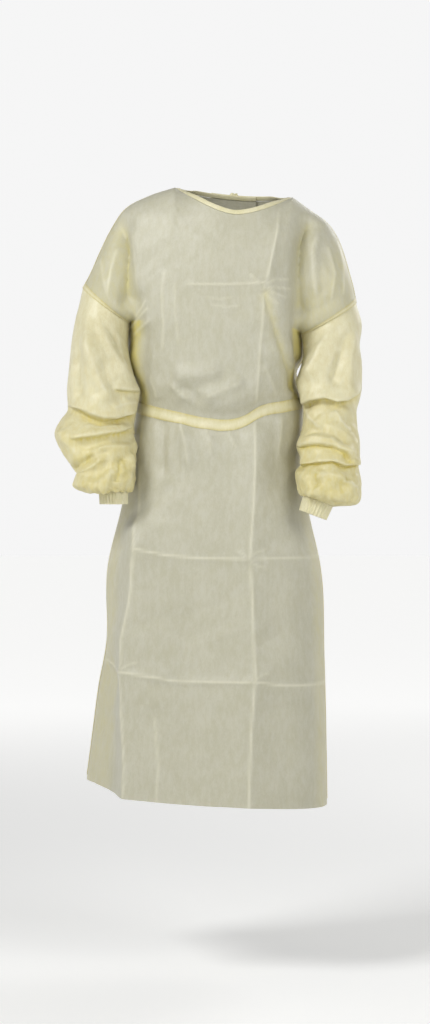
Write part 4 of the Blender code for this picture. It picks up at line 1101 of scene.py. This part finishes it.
def add_tails(back, normals, shader):
    """The hanging ends of the belt and of the neck tie, down the over back beside the middle."""
    middle = back.shape[1] // 2
    for side, side_name in ((RIGHT, "right"), (LEFT, "left")):
        for kind in ("belt", "neck"):
            node = kind + "_tail_" + side_name
            low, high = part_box(node)
            column = middle + side * TAIL_COLUMNS
            line, lean = back[:, column], normals[:, column]
            inside = (line[:, 2] > low[2]) & (line[:, 2] < high[2] + TAIL_ABOVE_BOX)
            centre = along_line(line[inside], TAIL_STEPS)
            lean = unit(along_line(lean[inside], TAIL_STEPS))
            if centre[0, 2] < centre[-1, 2]:
                centre, lean = centre[::-1], lean[::-1]
            down = np.linspace(0, 1, TAIL_STEPS)[:, None]
            sway = TAIL_SWAY[0] * side * np.sin(down * TAIL_SWAY[1]) * down
            sway = sway + TAIL_WAVER[0] * np.sin(down * TAIL_WAVER[1] + side)
            stand = TAIL_LIFT + TAIL_THICK / 2
            stand = stand + TAIL_STAND[0] * np.sin(down * TAIL_STAND[1] + side) ** 2 * down
            centre = centre + np.array((1, 0, 0)) * sway * TAIL_SWING[kind] + lean * stand
            knot = np.mean(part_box(kind + "_knot"), axis=0)
            to_knot = TAIL_TO_KNOT[0] * (1 - ease(down[:, 0] / TAIL_TO_KNOT[1]))
            centre[:, 0] += (knot[0] - centre[0, 0]) * to_knot
            along = unit(np.gradient(centre, axis=0))
            twist = TAIL_TWIST[0] * side * np.sin(down * TAIL_TWIST[1])
            across = unit(np.cross(along, lean)) * np.cos(twist) + lean * np.sin(twist) * TAIL_TILT
            sections = strip_sections(centre, unit(across), lean, TAIL_WIDTH[kind], TAIL_THICK)
            tail = add_bar("gown_" + node, sections, shader)
            lay_out(node)


def add_welt(name, strip, lean, shader):
    """A doubled strip over a seam: lengthwise points first, then across it."""
    across = np.linspace(-1, 1, strip.shape[1])[:, None]
    crown = SEAM + WELT_THICK * (1 - WELT_CROWN * across ** 2)
    tones = np.zeros(strip.shape)
    # the tone grows yellower and darker towards the strip's two edges
    tones[..., 0] = (across ** 2)[:, 0]
    return add_wall(name, strip + lean * crown, strip + lean * SEAM / 2, shader,
                    tones=tones)


def add_stitches(name, line, lean, thread):
    """A row of lock stitches along a line: short tapered lengths of thread, in one mesh."""
    total = np.linalg.norm(np.diff(line, axis=0), axis=-1).sum()
    count = int(total / (STITCH_LONG + STITCH_GAP))
    fine = along_line(line, count * 4 + 1)
    out = unit(along_line(lean, count * 4 + 1))
    start, end = fine[:-1:4], fine[3::4][:count]
    rise, run = out[:-1:4], unit(end - start)
    wide = unit(np.cross(run, rise)) * THREAD / 2
    high = rise * THREAD / 2
    middle = (start + end) / 2
    rings = [middle - run * STITCH_LONG / 2] + [
        middle + run * STITCH_LONG * share + rise * THREAD * THREAD_PROUD + offset
        for share in (-STITCH_TAPER, STITCH_TAPER) for offset in (wide, high, -wide, -high)]
    rings.append(middle + run * STITCH_LONG / 2)
    vertices = np.stack(rings, axis=1).reshape(-1, 3)
    one = [(0, 1 + k, 1 + (k + 1) % 4) for k in range(4)]
    one += [(9, 5 + (k + 1) % 4, 5 + k) for k in range(4)]
    sides = [(1 + k, 5 + k, 5 + (k + 1) % 4, 1 + (k + 1) % 4) for k in range(4)]
    faces = [tuple(len(rings) * number + corner for corner in face)
             for number in range(count) for face in one + sides]
    return add_piece(name, vertices.tolist(), faces, thread)


def add_seam(name, strip, lean, shader, thread):
    """A seam's doubled strip, and the stitches along its middle."""
    out = lean[:, 1]
    line = strip[:, 1] + out * (SEAM + WELT_THICK)
    return [add_welt("seam_" + name, strip, lean, shader), add_stitches("stitch_" + name, line, out, thread)]


def add_seams(body, normals, shader, thread):
    """The strips and stitches over the armhole, side and shoulder seams, by the piece they are on."""
    seams = {}
    arm = slice(-YOKE_CELLS - 1, -1)
    for side, side_name in ((RIGHT, "right"), (LEFT, "left")):
        columns = slice(0, WELT_CELLS + 1) if side == RIGHT else slice(-1, -WELT_CELLS - 2, -1)
        shoulder = slice(0, SHOULDER_CELLS - 1) if side == RIGHT else slice(-1, -SHOULDER_CELLS, -1)
        armhole, panel = [], []
        for face, face_name in ((FRONT, "front"), (BACK, "back")):
            armhole += add_seam("armhole_" + side_name + "_" + face_name, body[face][arm, columns],
                                normals[face][arm, columns], shader, thread)
        for name, rows, cols in (("side", slice(2, -YOKE_CELLS - 3), columns),
                                 ("shoulder", slice(-1, -WELT_CELLS - 2, -1), shoulder)):
            strip, lean = body[BACK][rows, cols], normals[BACK][rows, cols]
            if name == "shoulder":
                strip, lean = strip.transpose(1, 0, 2), lean.transpose(1, 0, 2)
            first, second = strip[:, 0], strip[:, 1]
            strip = np.stack((first, (first + second) / 2, second), axis=1)
            panel += add_seam(name + "_" + side_name, strip, lean, shader, thread)
        seams["armhole_" + side_name] = armhole
        seams["back_" + side_name] = panel
    return seams


def add_belt(body, normals, shader):
    """The belt: a strip folded in three, made from the body's points moved out."""
    waist = slice(SKIRT_CELLS, SKIRT_CELLS + BELT_CELLS + 1)
    loop, lean = (np.concatenate((grid[FRONT][waist], grid[BACK][waist, -2:0:-1]), axis=1)
                  for grid in (body, normals))
    across = np.linspace(-1, 1, BELT_CELLS + 1)[:, None, None]
    groove = BELT_GROOVE * np.exp(-((across - BELT_GROOVE_PLACE[0]) / BELT_GROOVE_PLACE[1]) ** 2)
    crown = SEAM + BELT_THICK * (BELT_CROWN[0] - BELT_CROWN[1] * across ** BELT_CROWN_POWER) - groove
    # the tone grows yellower and darker towards the belt's top and bottom edges
    edges = across ** 2 * np.ones(loop.shape)
    edges[..., 1] = 0
    belt = add_wall("gown_belt", loop + lean * crown, loop + lean * SEAM, shader, wrap=True,
                    tones=edges)
    lay_out("belt")


# ---------------------------------------------------------------- studio

def add_studio():
    """A pale floor, a bright backdrop all round, soft light mostly from the left, and the camera."""
    scene = bpy.context.scene
    world = bpy.data.worlds.new("studio")
    scene.world = world
    world.use_nodes = True
    tree = world.node_tree
    toward = add_node(tree, "ShaderNodeTexCoord").outputs["Generated"]
    height = add_node(tree, "ShaderNodeSeparateXYZ", links={"Vector": toward}).outputs["Z"]
    steep = add_node(tree, "ShaderNodeMath", links={0: height}, operation="ABSOLUTE").outputs[0]
    bright = add_node(tree, "ShaderNodeMapRange", dict(zip(RANGE, BACKDROP_EDGE + BACKDROP)),
                      {"Value": steep}).outputs["Result"]
    tree.links.new(bright, tree.nodes["Background"].inputs["Strength"])
    tree.nodes["Background"].inputs["Color"].default_value = linear("#ffffff")

    mesh = bpy.data.meshes.new("floor")
    bm = bmesh.new()
    bmesh.ops.create_circle(bm, cap_ends=True, segments=96, radius=FLOOR_RADIUS)
    bm.to_mesh(mesh)
    bm.free()
    mesh.materials.append(studio_floor("studio_floor_glowing_white", "#f6f6f5", roughness=0.9))
    floor = bpy.data.objects.new("floor", mesh)
    floor.location.z = FLOOR_Z
    scene.collection.objects.link(floor)

    for name, (place, size, power) in LAMPS.items():
        lamp = bpy.data.lights.new(name, "AREA")
        lamp.size = size
        lamp.energy = power
        light = bpy.data.objects.new(name, lamp)
        light.location = place
        light.rotation_euler = (Vector(LAMPS_AIM) - Vector(place)).to_track_quat("-Z", "Y").to_euler()
        scene.collection.objects.link(light)

    lens = bpy.data.cameras.new("camera")
    lens.sensor_fit = "VERTICAL"
    lens.sensor_height = SENSOR
    lens.lens = CAMERA_LENS
    camera = bpy.data.objects.new("camera", lens)
    camera.location = CAMERA_PLACE
    camera.rotation_euler = (math.pi / 2, 0, 0)
    scene.collection.objects.link(camera)
    scene.camera = camera
    scene.view_settings.view_transform = "Standard"


def main():
    body_cloth = nonwoven("spunbond_body", "#c6c4b4", "#bab8a6", "#e1d688",
                          roughness=0.46, see_through=0.16)
    # The sleeves' copy of the cloth is paler and yellower than the body's: painted light, for the light that
    # comes through the thin sleeves from both sides.
    sleeve_cloth = nonwoven("spunbond_sleeve_painted_light", "#e9e4c3", "#dfd7ae", "#decf72",
                            roughness=0.42, see_through=0.22)
    doubled_cloth = nonwoven("spunbond_doubled", "#ded8b7", "#d6d0a6", "#ccc186",
                             roughness=0.46, see_through=0.10)
    thread = spun_thread("polyester_thread", "#e6dfb4", roughness=0.55)
    body, normals, tones = {}, {}, {}
    for face in (FRONT, BACK):
        body[face], normals[face], tones[face] = body_grid(face)
    for edge in (np.s_[:-YOKE_CELLS, 0], np.s_[:-YOKE_CELLS, -1], np.s_[-1, :]):
        normals[FRONT][edge], normals[BACK][edge] = share_normals(normals[FRONT][edge], normals[BACK][edge])

    knots = {kind: add_knot("gown_" + kind + "_knot", kind, doubled_cloth) for kind in ("belt", "neck")}
    add_belt(body, normals, doubled_cloth)
    add_tails(body[BACK], normals[BACK], doubled_cloth)
    add_neck_binding(body, normals, tuck_in(body[BACK], normals[BACK]), doubled_cloth, thread)
    seams = add_seams(body, normals, doubled_cloth, thread)
    for side in (RIGHT, LEFT):
        add_sleeve(side, body, normals, sleeve_cloth, doubled_cloth)
    for grid in body.values():
        for edge in (0, -1):
            pull_back(grid[:-YOKE_CELLS], edge, 1, SEAM / 2)
        for shoulder in (grid[:, :SHOULDER_CELLS + 1], grid[:, -SHOULDER_CELLS - 1:]):
            pull_back(shoulder, -1, 0, SEAM / 2)
    front = add_cloth("gown_front", body[FRONT], normals[FRONT], body_cloth,
                      tones=tones[FRONT])
    lay_out("front")

    middle = body[BACK].shape[1] // 2
    edge_drop = (LAP_STEP - CLOTH_THICK - SEAM) * np.array(EDGE_REST)[None, :, None]
    free_edge = np.s_[:, middle - LAP_CELLS:middle - LAP_CELLS + len(EDGE_REST)]
    tucked = tuck_in(body[BACK], normals[BACK])
    body[BACK][free_edge] -= normals[BACK][free_edge] * edge_drop
    over = np.s_[:, middle - LAP_CELLS:]
    under = np.s_[:, :middle + LAP_CELLS + 1]
    for name, grid, part in (("back_left", body[BACK], over), ("back_right", tucked, under)):
        piece = add_cloth("gown_" + name, grid[part], normals[BACK][part], body_cloth,
                          tones=tones[BACK][part])
        lay_out(name)
    add_studio()


main()
